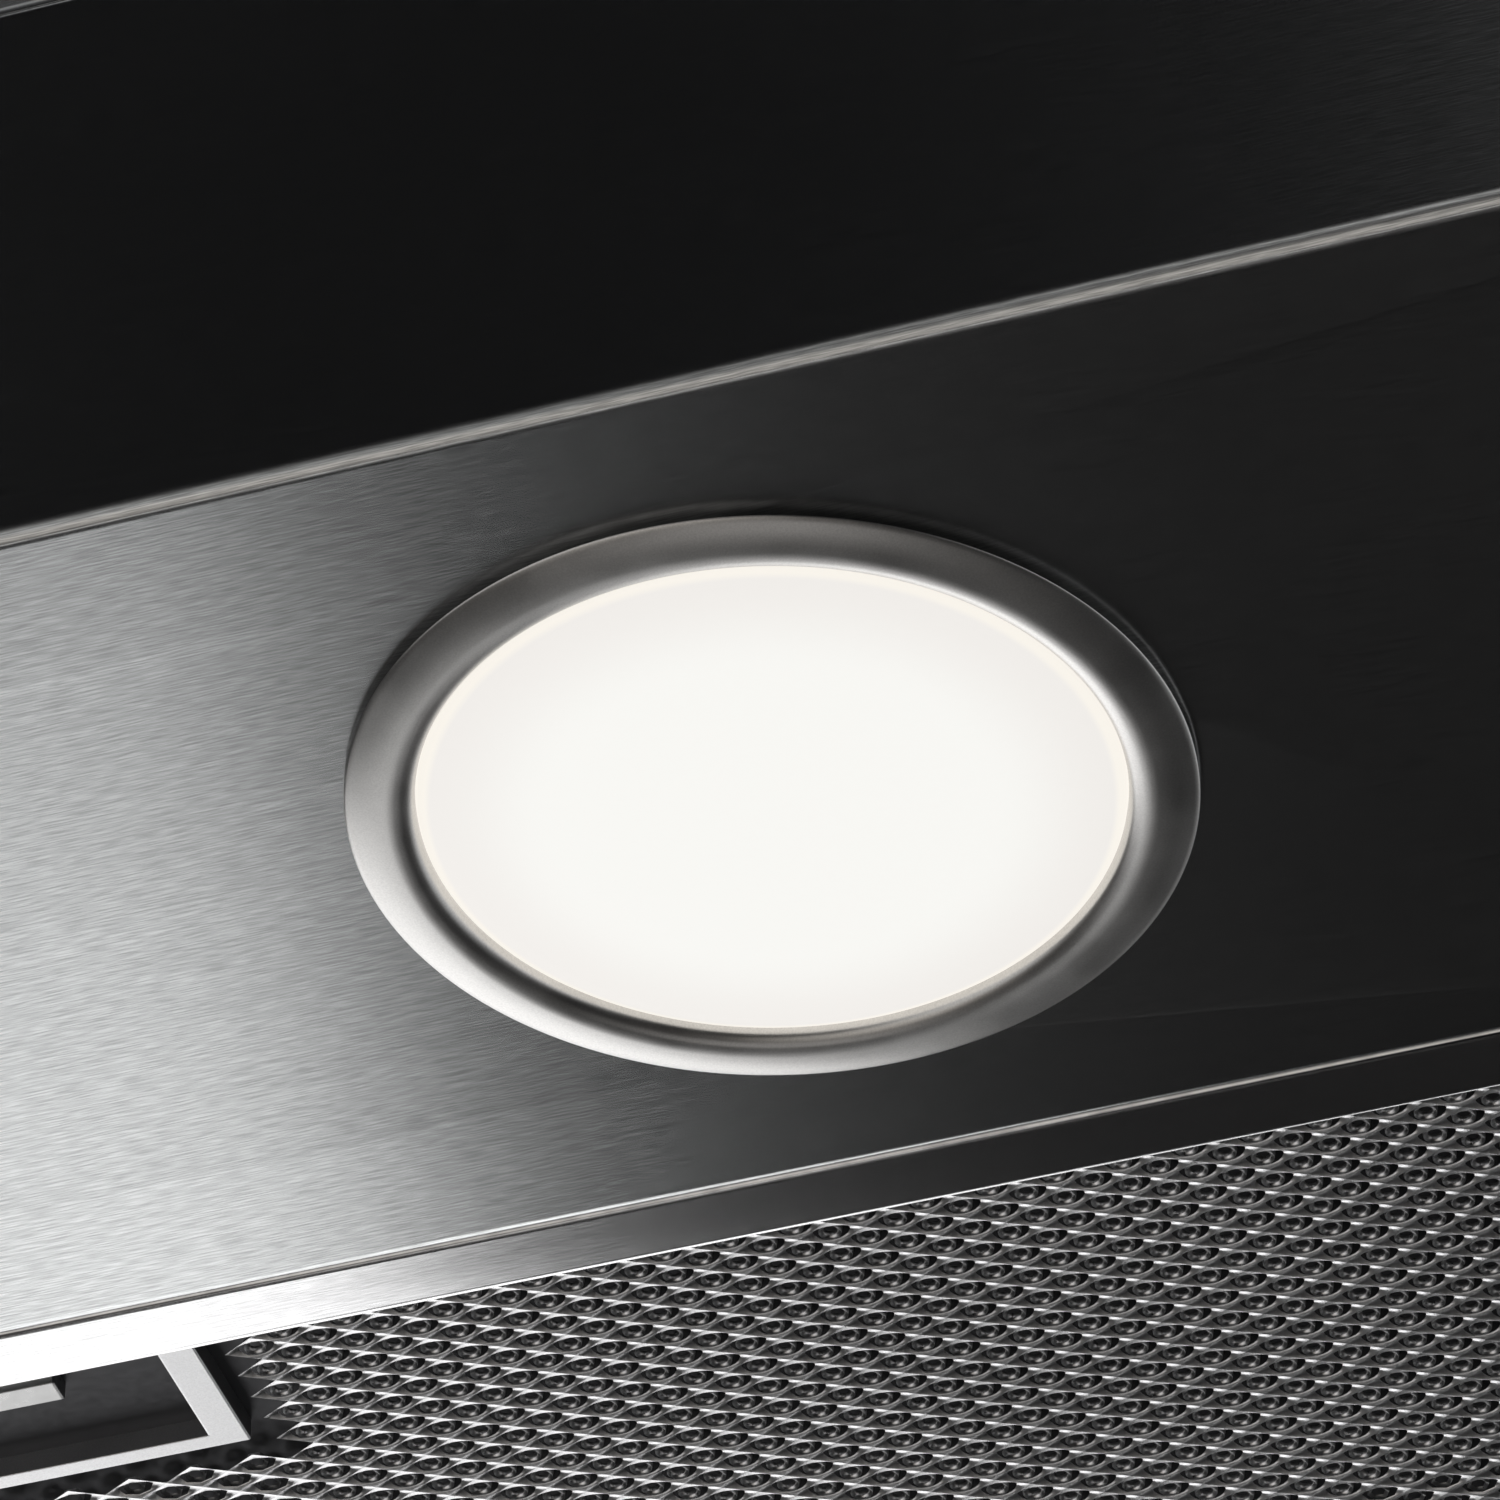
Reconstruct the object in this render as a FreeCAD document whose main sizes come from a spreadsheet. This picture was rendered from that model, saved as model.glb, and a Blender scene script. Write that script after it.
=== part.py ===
import FreeCAD, Part
import os
import Sketcher

# Island range hood: a wide stainless canopy hung from the ceiling on an angle-iron frame,
# with a telescoping chimney, a centrifugal blower, grease filters and puck lamps.
# Millimetres. The origin is the centre of the ceiling plate's top face, +Z is up,
# X runs along the canopy's width, and -Y is its front, with the push buttons.

os.makedirs("parts", exist_ok=True)
doc = FreeCAD.newDocument("island_range_hood")
sheet = doc.addObject("Spreadsheet::Sheet", "dims")

DIMENSIONS = {
    "overall_height": 1000.0,    # ceiling to the canopy's underside
    "canopy_width": 900.0,
    "canopy_depth": 600.0,
    "rim_height": 70.0,
    "gauge": 1.0,                # sheet steel of canopy and covers
    "bend_radius": 1.6,
    "strip_depth": 111.2,        # lamp strip, from the fascia to the filter opening
    "end_strip": 61.2,
    "inner_flange": 22.0,
    "top_flange": 15.0,
    "cone_height": 200.0,        # sloping canopy top
    "cover_width": 340.0,        # lower chimney cover
    "cover_depth": 280.0,
    "cover_height": 397.0,
    "cover_gap": 1.0,            # between the two chimney covers
    "upper_bottom": 430.0,       # the upper cover's lower edge, below the ceiling
    "ring_thickness": 3.0,
    "ring_open_width": 236.0,
    "ring_open_depth": 248.0,
    "plate_width": 320.0,
    "plate_depth": 260.0,
    "plate_open_width": 190.0,
    "plate_open_depth": 170.0,
    "bolt_x": 115.0,
    "bolt_y": 105.0,
    "bolt_hole": 4.0,
    "cable_x": -143.0,           # mains cable, from the ceiling to the junction box
    "cable_y": 25.0,
    "cable_hole": 7.0,
    "post_leg": 25.0,
    "post_wall": 2.0,
    "upper_post": 457.0,
    "lower_post": 387.0,
    "screw_radius": 2.0,
    "head_radius": 3.5,
    "head_height": 2.2,
    "screw_inset": 15.0,         # post screws, in from the ceiling plate's front and rear
    "screw_length": 6.0,
    "clearance": 0.1,            # of a hole round its screw
    "bracket_screw_x": 35.0,
    "bracket_screw_y": 130.0,
    "filter_width": 386.0,
    "filter_depth": 374.5,
    "filter_height": 9.0,
    "filter_lip": 8.9,
    "filter_sheet": 0.8,
    "filter_lift": 1.2,          # the filters sit this far above the underside
    "filter_front_gap": 0.8,
    "mesh_height": 1.4,
    "core_height": 4.4,
    "tongue_width": 20.0,
    "tongue_height": 1.2,
    "tongue_reach": 7.5,
    "tongue_spread": 130.0,
    "catch_width": 46.0,
    "catch_depth": 17.0,
    "bolt_nose": 4.0,
    "bolt_width": 14.0,
    "lamp_x": 300.0,
    "lamp_inset": 55.9,          # lamp centre behind the fascia
    "bezel_radius": 40.0,
    "lens_radius": 33.1,
    "cutout_radius": 37.0,
    "can_height": 24.0,
    "button_pitch": 34.0,
    "button_radius": 8.0,
    "button_rise": 36.0,         # button centres above the underside
    "button_proud": 1.5,
    "blower_drop": 810.0,        # blower axis below the ceiling
    "blower_radius": 112.0,
    "blower_shift": 2.0,
    "blower_width": 160.0,
    "blower_sheet": 1.5,
    "outlet_depth": 156.0,
    "outlet_rise": 130.0,
    "inlet_radius": 76.0,
    "wheel_radius": 92.0,
    "wheel_inner": 77.0,
    "wheel_width": 130.0,
    "blade_count": 36.0,
    "bracket_width": 100.0,
    "bracket_reach": 60.0,
    "bracket_web": 36.0,
    "bracket_sheet": 2.0,
    "motor_ring": 12.0,          # width of the motor bracket's ring
    "motor_disc": 30.0,
    "arm_width": 14.0,
    "hub_radius": 12.0,
    "hub_length": 12.0,
    "hub_tail": 5.0,
    "wheel_sheet": 2.0,
    "blade_sweep": 6.0,
    "blade_sheet": 1.4,
    "shaft_length": 56.0,
    "shaft_overlap": 30.0,
    "shaft_radius": 4.0,
    "shaft_gap": 0.05,
    "motor_radius": 42.0,
    "motor_length": 72.0,
    "motor_shoulder": 6.0,
    "motor_crown": 10.0,
    "motor_cap": 4.0,
    "collar_radius": 74.5,
    "collar_height": 60.0,
    "collar_wall": 1.2,
    "collar_flange": 3.0,
    "flap_sheet": 1.0,
    "flap_gap": 4.0,             # between a flap's half disc and the pin
    "knuckle_length": 25.0,
    "knuckle_reach": 6.0,
    "flap_radius": 71.0,
    "flap_rise": 28.0,
    "pin_radius": 1.5,
    "knuckle_radius": 3.0,
    "box_width": 44.0,           # junction box
    "box_depth": 100.0,
    "box_height": 60.0,
    "box_wall": 2.0,
    "gland_bore": 4.5,
    "gland_neck": 8.0,
    "gland_nut": 11.0,
    "gland_cap": 9.0,
    "gland_height": 18.0,
    "board_height": 24.0,        # control board's carrier
    "board_depth": 8.0,
    "board_gap": 12.0,
    "stem_radius": 3.0,
    "stem_length": 9.0,
    "sleeve_outer": 36.4,        # bezel's sleeve
    "sleeve_inner": 35.2,
    "sleeve_height": 8.0,
    "lens_flange": 35.0,
    "can_radius": 38.2,
    "can_bore": 36.6,
    "can_crown": 4.0,
    "led_radius": 30.0,
    "led_sheet": 1.6,
    "led_rise": 12.0,
    "clip_offset": 38.9,
    "clip_sheet": 1.4,
    "clip_width": 9.0,
    "clip_height": 15.0,
    "clip_foot": 0.6,
    "clip_foot_offset": 3.8,
}
for row, (alias, number) in enumerate(DIMENSIONS.items(), start=1):
    sheet.set(f"A{row}", alias)
    sheet.set(f"B{row}", str(number))
    sheet.setAlias(f"B{row}", alias)
doc.recompute()

finished = {}


def value(expression):
    """The present value of an expression over the sheet's dimensions."""
    return float(sheet.evalExpression(str(expression)))


def dim(words):
    """Writes each driving dimension in the text as a reference to the sheet."""
    out = []
    for word in str(words).replace("(", " ( ").replace(")", " ) ").split():
        out.append("dims." + word if word in DIMENSIONS else word)
    return " ".join(out)


def place(item, x="0", y="0", z="0", axis=None, angle=0.0):
    """Binds an object's position to the sheet, with an optional fixed turn."""
    if axis is not None:
        item.Placement.Rotation = FreeCAD.Rotation(FreeCAD.Vector(*axis), angle)
    for letter, words in (("x", x), ("y", y), ("z", z)):
        item.setExpression(f".Placement.Base.{letter}", dim(words))
    return item


def keep(item, node):
    """Marks an object as a finished sub-part under its own name."""
    item.Label = node
    finished[node] = item
    return item


# ---- Part primitives, bound to the sheet ---------------------------------------------

def block(x, y, z, length, width, height):
    item = doc.addObject("Part::Box", "block")
    item.setExpression("Length", dim(length))
    item.setExpression("Width", dim(width))
    item.setExpression("Height", dim(height))
    return place(item, x, y, z)


def centred(length, width, z, height, x="0", y="0"):
    """A block centred on x and y, standing on z."""
    return block(f"{x} - ( {length} ) / 2", f"{y} - ( {width} ) / 2", z, length, width, height)


TURNS = {"z": (None, 0.0), "x": ((0, 1, 0), 90.0), "y": ((1, 0, 0), -90.0)}


def rod(direction, x, y, z, radius, length):
    item = doc.addObject("Part::Cylinder", "rod")
    item.setExpression("Radius", dim(radius))
    item.setExpression("Height", dim(length))
    axis, angle = TURNS[direction]
    return place(item, x, y, z, axis, angle)


def cut(base, *tools):
    item = doc.addObject("Part::Cut", "cut")
    item.Base = base
    item.Tool = tools[0] if len(tools) == 1 else fuse(*tools)
    return item


def fuse(*shapes):
    item = doc.addObject("Part::MultiFuse", "fuse")
    item.Shapes = list(shapes)
    return item


def common(base, tool):
    item = doc.addObject("Part::MultiCommon", "common")
    item.Shapes = [base, tool]
    return item


def group(*shapes):
    """Separate identical solids that share one node."""
    item = doc.addObject("Part::Compound", "group")
    item.Links = list(shapes)
    return item


# ---- PartDesign bodies, bound to the sheet -------------------------------------------

def plane_of(body, role):
    return [item for item in body.Origin.OriginFeatures if item.Role == role][0]


def sketch_on(body, role, lift="0"):
    sketch = body.newObject("Sketcher::SketchObject", "sketch")
    sketch.AttachmentSupport = [(plane_of(body, role), "")]
    sketch.MapMode = "FlatFace"
    sketch.setExpression(".AttachmentOffset.Base.z", dim(lift))
    return sketch


def outline(sketch, points):
    """A closed outline of straight edges, each corner bound to the sheet."""
    spots = [FreeCAD.Vector(value(dim(u)), value(dim(v)), 0) for u, v in points]
    first = len(sketch.Geometry)
    count = len(points)
    for index in range(count):
        sketch.addGeometry(Part.LineSegment(spots[index], spots[(index + 1) % count]))
    for index in range(count):
        following = (index + 1) % count
        sketch.addConstraint(Sketcher.Constraint("Coincident", first + index, 2, first + following, 1))
    for index, (u, v) in enumerate(points):
        for kind, words, number in (("DistanceX", u, spots[index].x), ("DistanceY", v, spots[index].y)):
            bound = sketch.addConstraint(Sketcher.Constraint(kind, -1, 1, first + index, 1, number))
            sketch.setExpression(f"Constraints[{bound}]", dim(words))


def rectangle(sketch, half_u, half_v):
    """A rectangle centred on the sketch's origin."""
    right = f"( {half_u} )"
    top = f"( {half_v} )"
    left = f"-1 * {right}"
    bottom = f"-1 * {top}"
    outline(sketch, [(left, bottom), (right, bottom), (right, top), (left, top)])


def circle(sketch, u, v, radius):
    centre = FreeCAD.Vector(value(dim(u)), value(dim(v)), 0)
    size = value(dim(radius))
    index = sketch.addGeometry(Part.Circle(centre, FreeCAD.Vector(0, 0, 1), size))
    for kind, words, number in (("DistanceX", u, centre.x), ("DistanceY", v, centre.y)):
        bound = sketch.addConstraint(Sketcher.Constraint(kind, -1, 1, index, 3, number))
        sketch.setExpression(f"Constraints[{bound}]", dim(words))
    bound = sketch.addConstraint(Sketcher.Constraint("Radius", index, size))
    sketch.setExpression(f"Constraints[{bound}]", dim(radius))


def pad(body, sketch, length):
    item = body.newObject("PartDesign::Pad", "pad")
    item.Profile = sketch
    item.setExpression("Length", dim(length))
    return item


def turned(points, x="0", y="0", z="0", axis=None, angle=0.0):
    """A body turned about its own Z axis from (radius, height) points."""
    body = doc.addObject("PartDesign::Body", "turned")
    sketch = sketch_on(body, "XZ_Plane")
    outline(sketch, points)
    item = body.newObject("PartDesign::Revolution", "revolution")
    item.Profile = sketch
    item.ReferenceAxis = (sketch, ["V_Axis"])
    item.Angle = 360
    return place(body, x, y, z, axis, angle)


def padded(half_u, half_v, length, holes=(), inner=None, x="0", y="0", z="0"):
    """A padded rectangle with an optional rectangular opening and round holes."""
    body = doc.addObject("PartDesign::Body", "padded")
    sketch = sketch_on(body, "XY_Plane")
    rectangle(sketch, half_u, half_v)
    if inner is not None:
        rectangle(sketch, *inner)
    for u, v, radius in holes:
        circle(sketch, u, v, radius)
    pad(body, sketch, length)
    return place(body, x, y, z)


SIGNS = (-1, 1)
SIDES = {"left": -1, "right": 1}
ENDS = {"front": -1, "rear": 1}
UNDERSIDE = "-1 * overall_height"
LAMP_Y = "( canopy_depth / 2 - lamp_inset )"
OPEN_X = "( canopy_width / 2 - end_strip )"
OPEN_Y = "( canopy_depth / 2 - strip_depth )"
RIM_TOP = "( rim_height - overall_height )"
NECK = "( rim_height + cone_height - overall_height )"
RING_TOP = f"( {NECK} + ring_thickness )"
FILTER_X = "( filter_width / 2 + 1 )"
FILTER_FRONT = f"( filter_front_gap - {OPEN_Y} )"
FILTER_BOTTOM = "( filter_lift - overall_height )"
POST_SCREW_DROPS = ("375", "425")
BUTTON_PLACES = {"light": -1.5, "speed_low": -0.5, "speed_mid": 0.5, "speed_high": 1.5}


def edges_near(shape, tests):
    """Names of the edges whose bounding box passes the test."""
    return [f"Edge{n}" for n, edge in enumerate(shape.Edges, start=1) if tests(edge.BoundBox)]


# ---- canopy rim: fascia, lamp strips and upturned inner flange, one folded sheet --------
def canopy_rim():
    body = doc.addObject("PartDesign::Body", "rim_body")
    underside = sketch_on(body, "XY_Plane")
    rectangle(underside, "canopy_width / 2", "canopy_depth / 2")
    rectangle(underside, OPEN_X, OPEN_Y)
    for side in SIGNS:
        for end in SIGNS:
            circle(underside, f"{side} * lamp_x", f"{end} * {LAMP_Y}", "cutout_radius")
    pad(body, underside, "gauge")
    fascia = sketch_on(body, "XY_Plane")
    rectangle(fascia, "canopy_width / 2", "canopy_depth / 2")
    rectangle(fascia, "canopy_width / 2 - gauge", "canopy_depth / 2 - gauge")
    pad(body, fascia, "rim_height")
    flange = sketch_on(body, "XY_Plane")
    rectangle(flange, f"{OPEN_X} + gauge", f"{OPEN_Y} + gauge")
    rectangle(flange, OPEN_X, OPEN_Y)
    pad(body, flange, "inner_flange")
    top = sketch_on(body, "XY_Plane", "rim_height - gauge")
    rectangle(top, "canopy_width / 2", "canopy_depth / 2")
    rectangle(top, "canopy_width / 2 - top_flange", "canopy_depth / 2 - top_flange")
    solid = pad(body, top, "gauge")
    doc.recompute()
    half_width = value("dims.canopy_width") / 2
    half_depth = value("dims.canopy_depth") / 2
    open_x = value(dim(OPEN_X))
    open_y = value(dim(OPEN_Y))

    def on_fold(box):
        low = box.ZMax < 0.01
        flat_out = abs(abs(box.XMin) - half_width) < 0.01 and box.XLength < 0.01
        flat_out = flat_out or (abs(abs(box.YMin) - half_depth) < 0.01 and box.YLength < 0.01)
        flat_in = abs(abs(box.XMin) - open_x) < 0.01 and box.XLength < 0.01
        flat_in = flat_in or (abs(abs(box.YMin) - open_y) < 0.01 and box.YLength < 0.01)
        return low and (flat_out or flat_in)

    folds = body.newObject("PartDesign::Fillet", "folds")
    folds.Base = (solid, edges_near(solid.Shape, on_fold))
    folds.setExpression("Radius", "dims.bend_radius")
    place(body, "0", "0", UNDERSIDE)
    tools = []
    for factor in BUTTON_PLACES.values():
        tools.append(rod("y", f"{factor} * button_pitch", "-1 * canopy_depth / 2 - 1",
                         "button_rise - overall_height", "button_radius + 0.3", "gauge + 2"))
    for side in SIGNS:
        for spread in SIGNS:
            tools.append(centred("tongue_width + 4", "4", "1.8 - overall_height", "10.2",
                                 f"{side} * {FILTER_X} + {spread} * tongue_spread", f"{OPEN_Y} + 0.5"))
        tools.append(centred("bolt_width + 2", "4", "filter_lift + 1.6 - overall_height",
                             "filter_height - 1.2", f"{side} * {FILTER_X}", f"-1 * {OPEN_Y} - 0.5"))
    keep(cut(body, *tools), "canopy_rim")


def frustum(half_x, half_y, bottom, top_x, top_y, top):
    """A loft between two centred rectangles."""
    sections = []
    for u, v, height in ((half_x, half_y, bottom), (top_x, top_y, top)):
        section = doc.addObject("Part::Plane", "section")
        section.setExpression("Length", dim(f"2 * ( {u} )"))
        section.setExpression("Width", dim(f"2 * ( {v} )"))
        sections.append(place(section, f"-1 * ( {u} )", f"-1 * ( {v} )", height))
    loft = doc.addObject("Part::Loft", "loft")
    loft.Sections = sections
    loft.Solid = True
    loft.Ruled = True
    return loft


# ---- sloping canopy top, open below and at its neck ----------------------------------------
def canopy_top():
    outer = frustum("canopy_width / 2", "canopy_depth / 2", RIM_TOP,
                    "cover_width / 2 + 1", "cover_depth / 2 + 1", NECK)
    wall = "2 * gauge"
    inner = frustum(f"canopy_width / 2 - {wall}", f"canopy_depth / 2 - {wall}", RIM_TOP,
                    f"cover_width / 2 + 1 - {wall}", f"cover_depth / 2 + 1 - {wall}", NECK)
    keep(cut(outer, inner), "canopy_top")


# ---- chimney covers, each in a front and a rear half ------------------------------------------
def cover_half(node, end, half_x, half_y, bottom, height):
    outer = block(f"-1 * ( {half_x} )", "0" if end > 0 else f"-1 * ( {half_y} )", bottom,
                  f"2 * ( {half_x} )", half_y, height)
    inner = block(f"gauge - ( {half_x} )", "-1" if end > 0 else f"gauge - ( {half_y} )", f"{bottom} - 1",
                  f"2 * ( {half_x} - gauge )", f"{half_y} - gauge + 1", f"{height} + 2")
    keep(cut(outer, inner), node)


def chimney_covers():
    for name, end in ENDS.items():
        cover_half(f"lower_cover_{name}", end, "cover_width / 2", "cover_depth / 2", RING_TOP,
                   "cover_height")
        inset = "( gauge + cover_gap )"
        cover_half(f"upper_cover_{name}", end, f"cover_width / 2 - {inset}",
                   f"cover_depth / 2 - {inset}", "-1 * upper_bottom", "upper_bottom - 1")


# ---- hanging frame ---------------------------------------------------------------------------
def ceiling_plate():
    holes = [(f"{side} * bolt_x", f"{end} * bolt_y", "bolt_hole") for side in SIGNS for end in SIGNS]
    holes.append(("cable_x", "cable_y", "cable_hole"))
    keep(padded("plate_width / 2", "plate_depth / 2", "ring_thickness", holes,
                ("plate_open_width / 2", "plate_open_depth / 2"), z="-1 * ring_thickness"), "ceiling_plate")


def base_ring():
    holes = [(f"{side} * bracket_screw_x", f"{end} * bracket_screw_y", "screw_radius + clearance")
             for side in SIGNS for end in SIGNS]
    keep(padded("cover_width / 2 + 1", "cover_depth / 2 + 1", "ring_thickness", holes,
                ("ring_open_width / 2", "ring_open_depth / 2"), z=NECK), "base_ring")


def angle_post(node, side, end, corner_x, corner_y, bottom, height):
    """An angle-section post whose outer corner points away from the hood's centre."""
    def span(sign, corner, size):
        return f"{corner} - {size}" if sign > 0 else f"-1 * {corner}"

    long_leg = block(span(side, corner_x, "post_leg"), span(end, corner_y, "post_wall"), bottom,
                     "post_leg", "post_wall", height)
    side_leg = block(span(side, corner_x, "post_wall"), span(end, corner_y, "post_leg"), bottom,
                     "post_wall", "post_leg", height)
    holes = []
    for drop in POST_SCREW_DROPS:
        start = f"{corner_x} - 10" if side > 0 else f"-1 * {corner_x} - 10"
        holes.append(rod("x", start, f"{end} * ( plate_depth / 2 - screw_inset )", f"-1 * {drop}",
                         "screw_radius + clearance", "20"))
    keep(cut(fuse(long_leg, side_leg), *holes), node)


def frame_posts():
    for side_name, side in SIDES.items():
        for end_name, end in ENDS.items():
            angle_post(f"upper_post_{end_name}_{side_name}", side, end, "plate_width / 2",
                       "plate_depth / 2", "-1 * ring_thickness - upper_post", "upper_post")
            angle_post(f"lower_post_{end_name}_{side_name}", side, end, "( plate_width / 2 - post_wall )",
                       "( plate_depth / 2 - post_wall )", RING_TOP, "lower_post")


def frame_screws():
    screws = []
    for side in SIGNS:
        for end in SIGNS:
            y = f"{end} * ( plate_depth / 2 - screw_inset )"
            face = "plate_width / 2" if side > 0 else "-1 * plate_width / 2 - head_height"
            shank = "plate_width / 2 - screw_length" if side > 0 else "-1 * plate_width / 2"
            for drop in POST_SCREW_DROPS:
                head = rod("x", face, y, f"-1 * {drop}", "head_radius", "head_height")
                stem = rod("x", shank, y, f"-1 * {drop}", "screw_radius", "screw_length")
                screws.append(fuse(head, stem))
            x = f"{side} * bracket_screw_x"
            y = f"{end} * bracket_screw_y"
            head = rod("z", x, y, f"{RING_TOP} + bracket_sheet", "head_radius", "head_height")
            stem = rod("z", x, y, f"{RING_TOP} + bracket_sheet - screw_length - 1", "screw_radius",
                       "screw_length + 1")
            screws.append(fuse(head, stem))
    keep(group(*screws), "frame_screws")


# ---- blower: housing, bracket, motor, wheel, outlet collar and damper ---------------------------
BLOWER = "-1 * blower_drop"
OUTLET_TOP = "( outlet_rise - blower_drop )"
KNUCKLES = {"front": ("-60", "5"), "rear": ("-30", "35")}    # where each flap's hinge knuckles begin


def blower_housing():
    half = "blower_width / 2"
    scroll = rod("x", f"-1 * {half}", "blower_shift", BLOWER, "blower_radius", "blower_width")
    neck = centred("blower_width", "outlet_depth", BLOWER, "outlet_rise")
    inside = rod("x", f"blower_sheet - {half}", "blower_shift", BLOWER, "blower_radius - blower_sheet",
                 "blower_width - 2 * blower_sheet")
    throat = centred("blower_width - 2 * blower_sheet", "outlet_depth - 2 * blower_sheet", BLOWER,
                     "outlet_rise - blower_sheet")
    eyes = rod("x", f"-1 * {half} - 1", "0", BLOWER, "inlet_radius", "blower_width + 2")
    mouth = rod("z", "0", "0", f"{OUTLET_TOP} - 5", "collar_radius - 2", "10")
    keep(cut(fuse(scroll, neck), inside, throat, eyes, mouth), "blower_housing")


def blower_brackets():
    for name, end in ENDS.items():
        wall = "outlet_depth / 2"
        foot_y = wall if end > 0 else f"-1 * {wall} - bracket_reach"
        web_y = wall if end > 0 else f"-1 * {wall} - bracket_sheet"
        left = "-1 * bracket_width / 2"
        foot = block(left, foot_y, RING_TOP, "bracket_width", "bracket_reach", "bracket_sheet")
        web = block(left, web_y, RING_TOP, "bracket_width", "bracket_sheet", "bracket_web")
        holes = [rod("z", f"{side} * bracket_screw_x", f"{end} * bracket_screw_y", f"{RING_TOP} - 1",
                     "screw_radius + clearance", "bracket_sheet + 2") for side in SIGNS]
        keep(cut(fuse(foot, web), *holes), f"blower_bracket_{name}")


def motor_bracket():
    face = "-1 * blower_width / 2 - bracket_sheet"
    ring = cut(rod("x", face, "0", BLOWER, "inlet_radius + motor_ring", "bracket_sheet"),
               rod("x", f"{face} - 1", "0", BLOWER, "inlet_radius", "bracket_sheet + 2"))
    plate = rod("x", face, "0", BLOWER, "motor_disc", "bracket_sheet")
    arms = []
    for number in range(3):
        arm = doc.addObject("Part::Box", "arm")
        arm.setExpression("Length", dim("bracket_sheet"))
        arm.setExpression("Width", dim("arm_width"))
        arm.setExpression("Height", dim("inlet_radius + motor_ring / 2"))
        spin = FreeCAD.Rotation(FreeCAD.Vector(1, 0, 0), 120 * number)
        shift = spin.multVec(FreeCAD.Vector(0, -value("arm_width / 2"), 0))
        arm.Placement.Rotation = spin
        arms.append(place(arm, face, str(round(shift.y, 6)), f"{BLOWER} + {round(shift.z, 6)}"))
    keep(fuse(ring, plate, *arms), "motor_bracket")


def blower_motor():
    bore = "shaft_radius + shaft_gap"
    keep(turned([(bore, "0"), ("motor_radius - motor_shoulder", "0"), ("motor_radius", "motor_shoulder + 2"),
                 ("motor_radius", "motor_length - motor_crown"),
                 ("motor_radius - motor_shoulder * 2", "motor_length - motor_cap"),
                 ("hub_radius", "motor_length - motor_cap"), ("hub_radius", "motor_length"),
                 (bore, "motor_length")],
                "-1 * blower_width / 2", "0", BLOWER, (0, 1, 0), 90.0), "blower_motor")


def motor_shaft():
    start = "motor_length - blower_width / 2 - shaft_overlap"
    keep(rod("x", start, "0", BLOWER, "shaft_radius", "shaft_length"), "motor_shaft")


def fan_wheel():
    """A double-inlet wheel: centre disc and hub, end rings and forward blades."""
    half = "( wheel_width / 2 )"
    body = doc.addObject("PartDesign::Body", "wheel")
    disc = sketch_on(body, "XZ_Plane")
    below, above = "-1 * wheel_sheet / 2", "wheel_sheet / 2"
    outline(disc, [("shaft_radius", "-1 * hub_tail"), ("hub_radius", "-1 * hub_tail"),
                   ("hub_radius", below), ("wheel_radius", below), ("wheel_radius", above),
                   ("hub_radius", above), ("hub_radius", "hub_length"), ("shaft_radius", "hub_length")])
    for low, high in ((f"-1 * {half}", f"wheel_sheet - {half}"), (f"{half} - wheel_sheet", half)):
        outline(disc, [("wheel_inner", low), ("wheel_radius", low), ("wheel_radius", high),
                       ("wheel_inner", high)])
    spun = body.newObject("PartDesign::Revolution", "spun")
    spun.AllowMultiFace = True
    spun.Profile = disc
    spun.ReferenceAxis = (disc, ["V_Axis"])
    spun.Angle = 360
    blade = sketch_on(body, "XY_Plane", f"-1 * {half}")
    outline(blade, [("wheel_inner", "0"), ("wheel_radius - 1", "blade_sweep"),
                    ("wheel_radius - 1", "blade_sweep + blade_sheet"), ("wheel_inner", "blade_sheet - 0.2")])
    blade_pad = pad(body, blade, "wheel_width")
    pattern = body.newObject("PartDesign::PolarPattern", "blades")
    pattern.Originals = [blade_pad]
    pattern.Axis = (blade, ["N_Axis"])
    pattern.Angle = 360
    pattern.setExpression("Occurrences", "dims.blade_count")
    body.Tip = pattern
    keep(place(body, "0", "0", BLOWER, (0, 1, 0), 90.0), "fan_wheel")


def duct_collar():
    bore = "collar_radius - collar_wall"
    flange = "collar_radius + collar_flange"
    pipe = turned([(bore, "0"), (flange, "0"), (flange, "collar_wall"), ("collar_radius", "collar_wall"),
                   ("collar_radius", "collar_height"), (bore, "collar_height")], z=OUTLET_TOP)
    hole = rod("x", "-1 * collar_radius - 1", "0", f"{OUTLET_TOP} + flap_rise", "pin_radius",
               "2 * collar_radius + 2")
    keep(cut(pipe, hole), "duct_collar")


def damper():
    height = f"{OUTLET_TOP} + flap_rise"
    keep(rod("x", "-1 * collar_radius", "0", height, "pin_radius", "2 * collar_radius"), "damper_pin")
    for name, end in ENDS.items():
        disc = rod("z", "0", "0", f"{height} - flap_sheet / 2", "flap_radius", "flap_sheet")
        half_y = "flap_gap" if end > 0 else "-1 * flap_radius - flap_gap - 1"
        half = block("-1 * flap_radius - 1", half_y, f"{height} - 2", "2 * flap_radius + 2",
                     "flap_radius + 1", "4")
        pieces = [common(disc, half)]
        bores = []
        for start in KNUCKLES[name]:
            pieces.append(rod("x", start, "0", height, "knuckle_radius", "knuckle_length"))
            pieces.append(block(start, "0" if end > 0 else "-1 * knuckle_reach",
                                f"{height} - flap_sheet / 2", "knuckle_length", "knuckle_reach",
                                "flap_sheet"))
            bores.append(rod("x", f"{start} - 1", "0", height, "pin_radius + shaft_gap",
                             "knuckle_length + 2"))
        keep(cut(fuse(*pieces), *bores), f"damper_flap_{name}")


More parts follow.
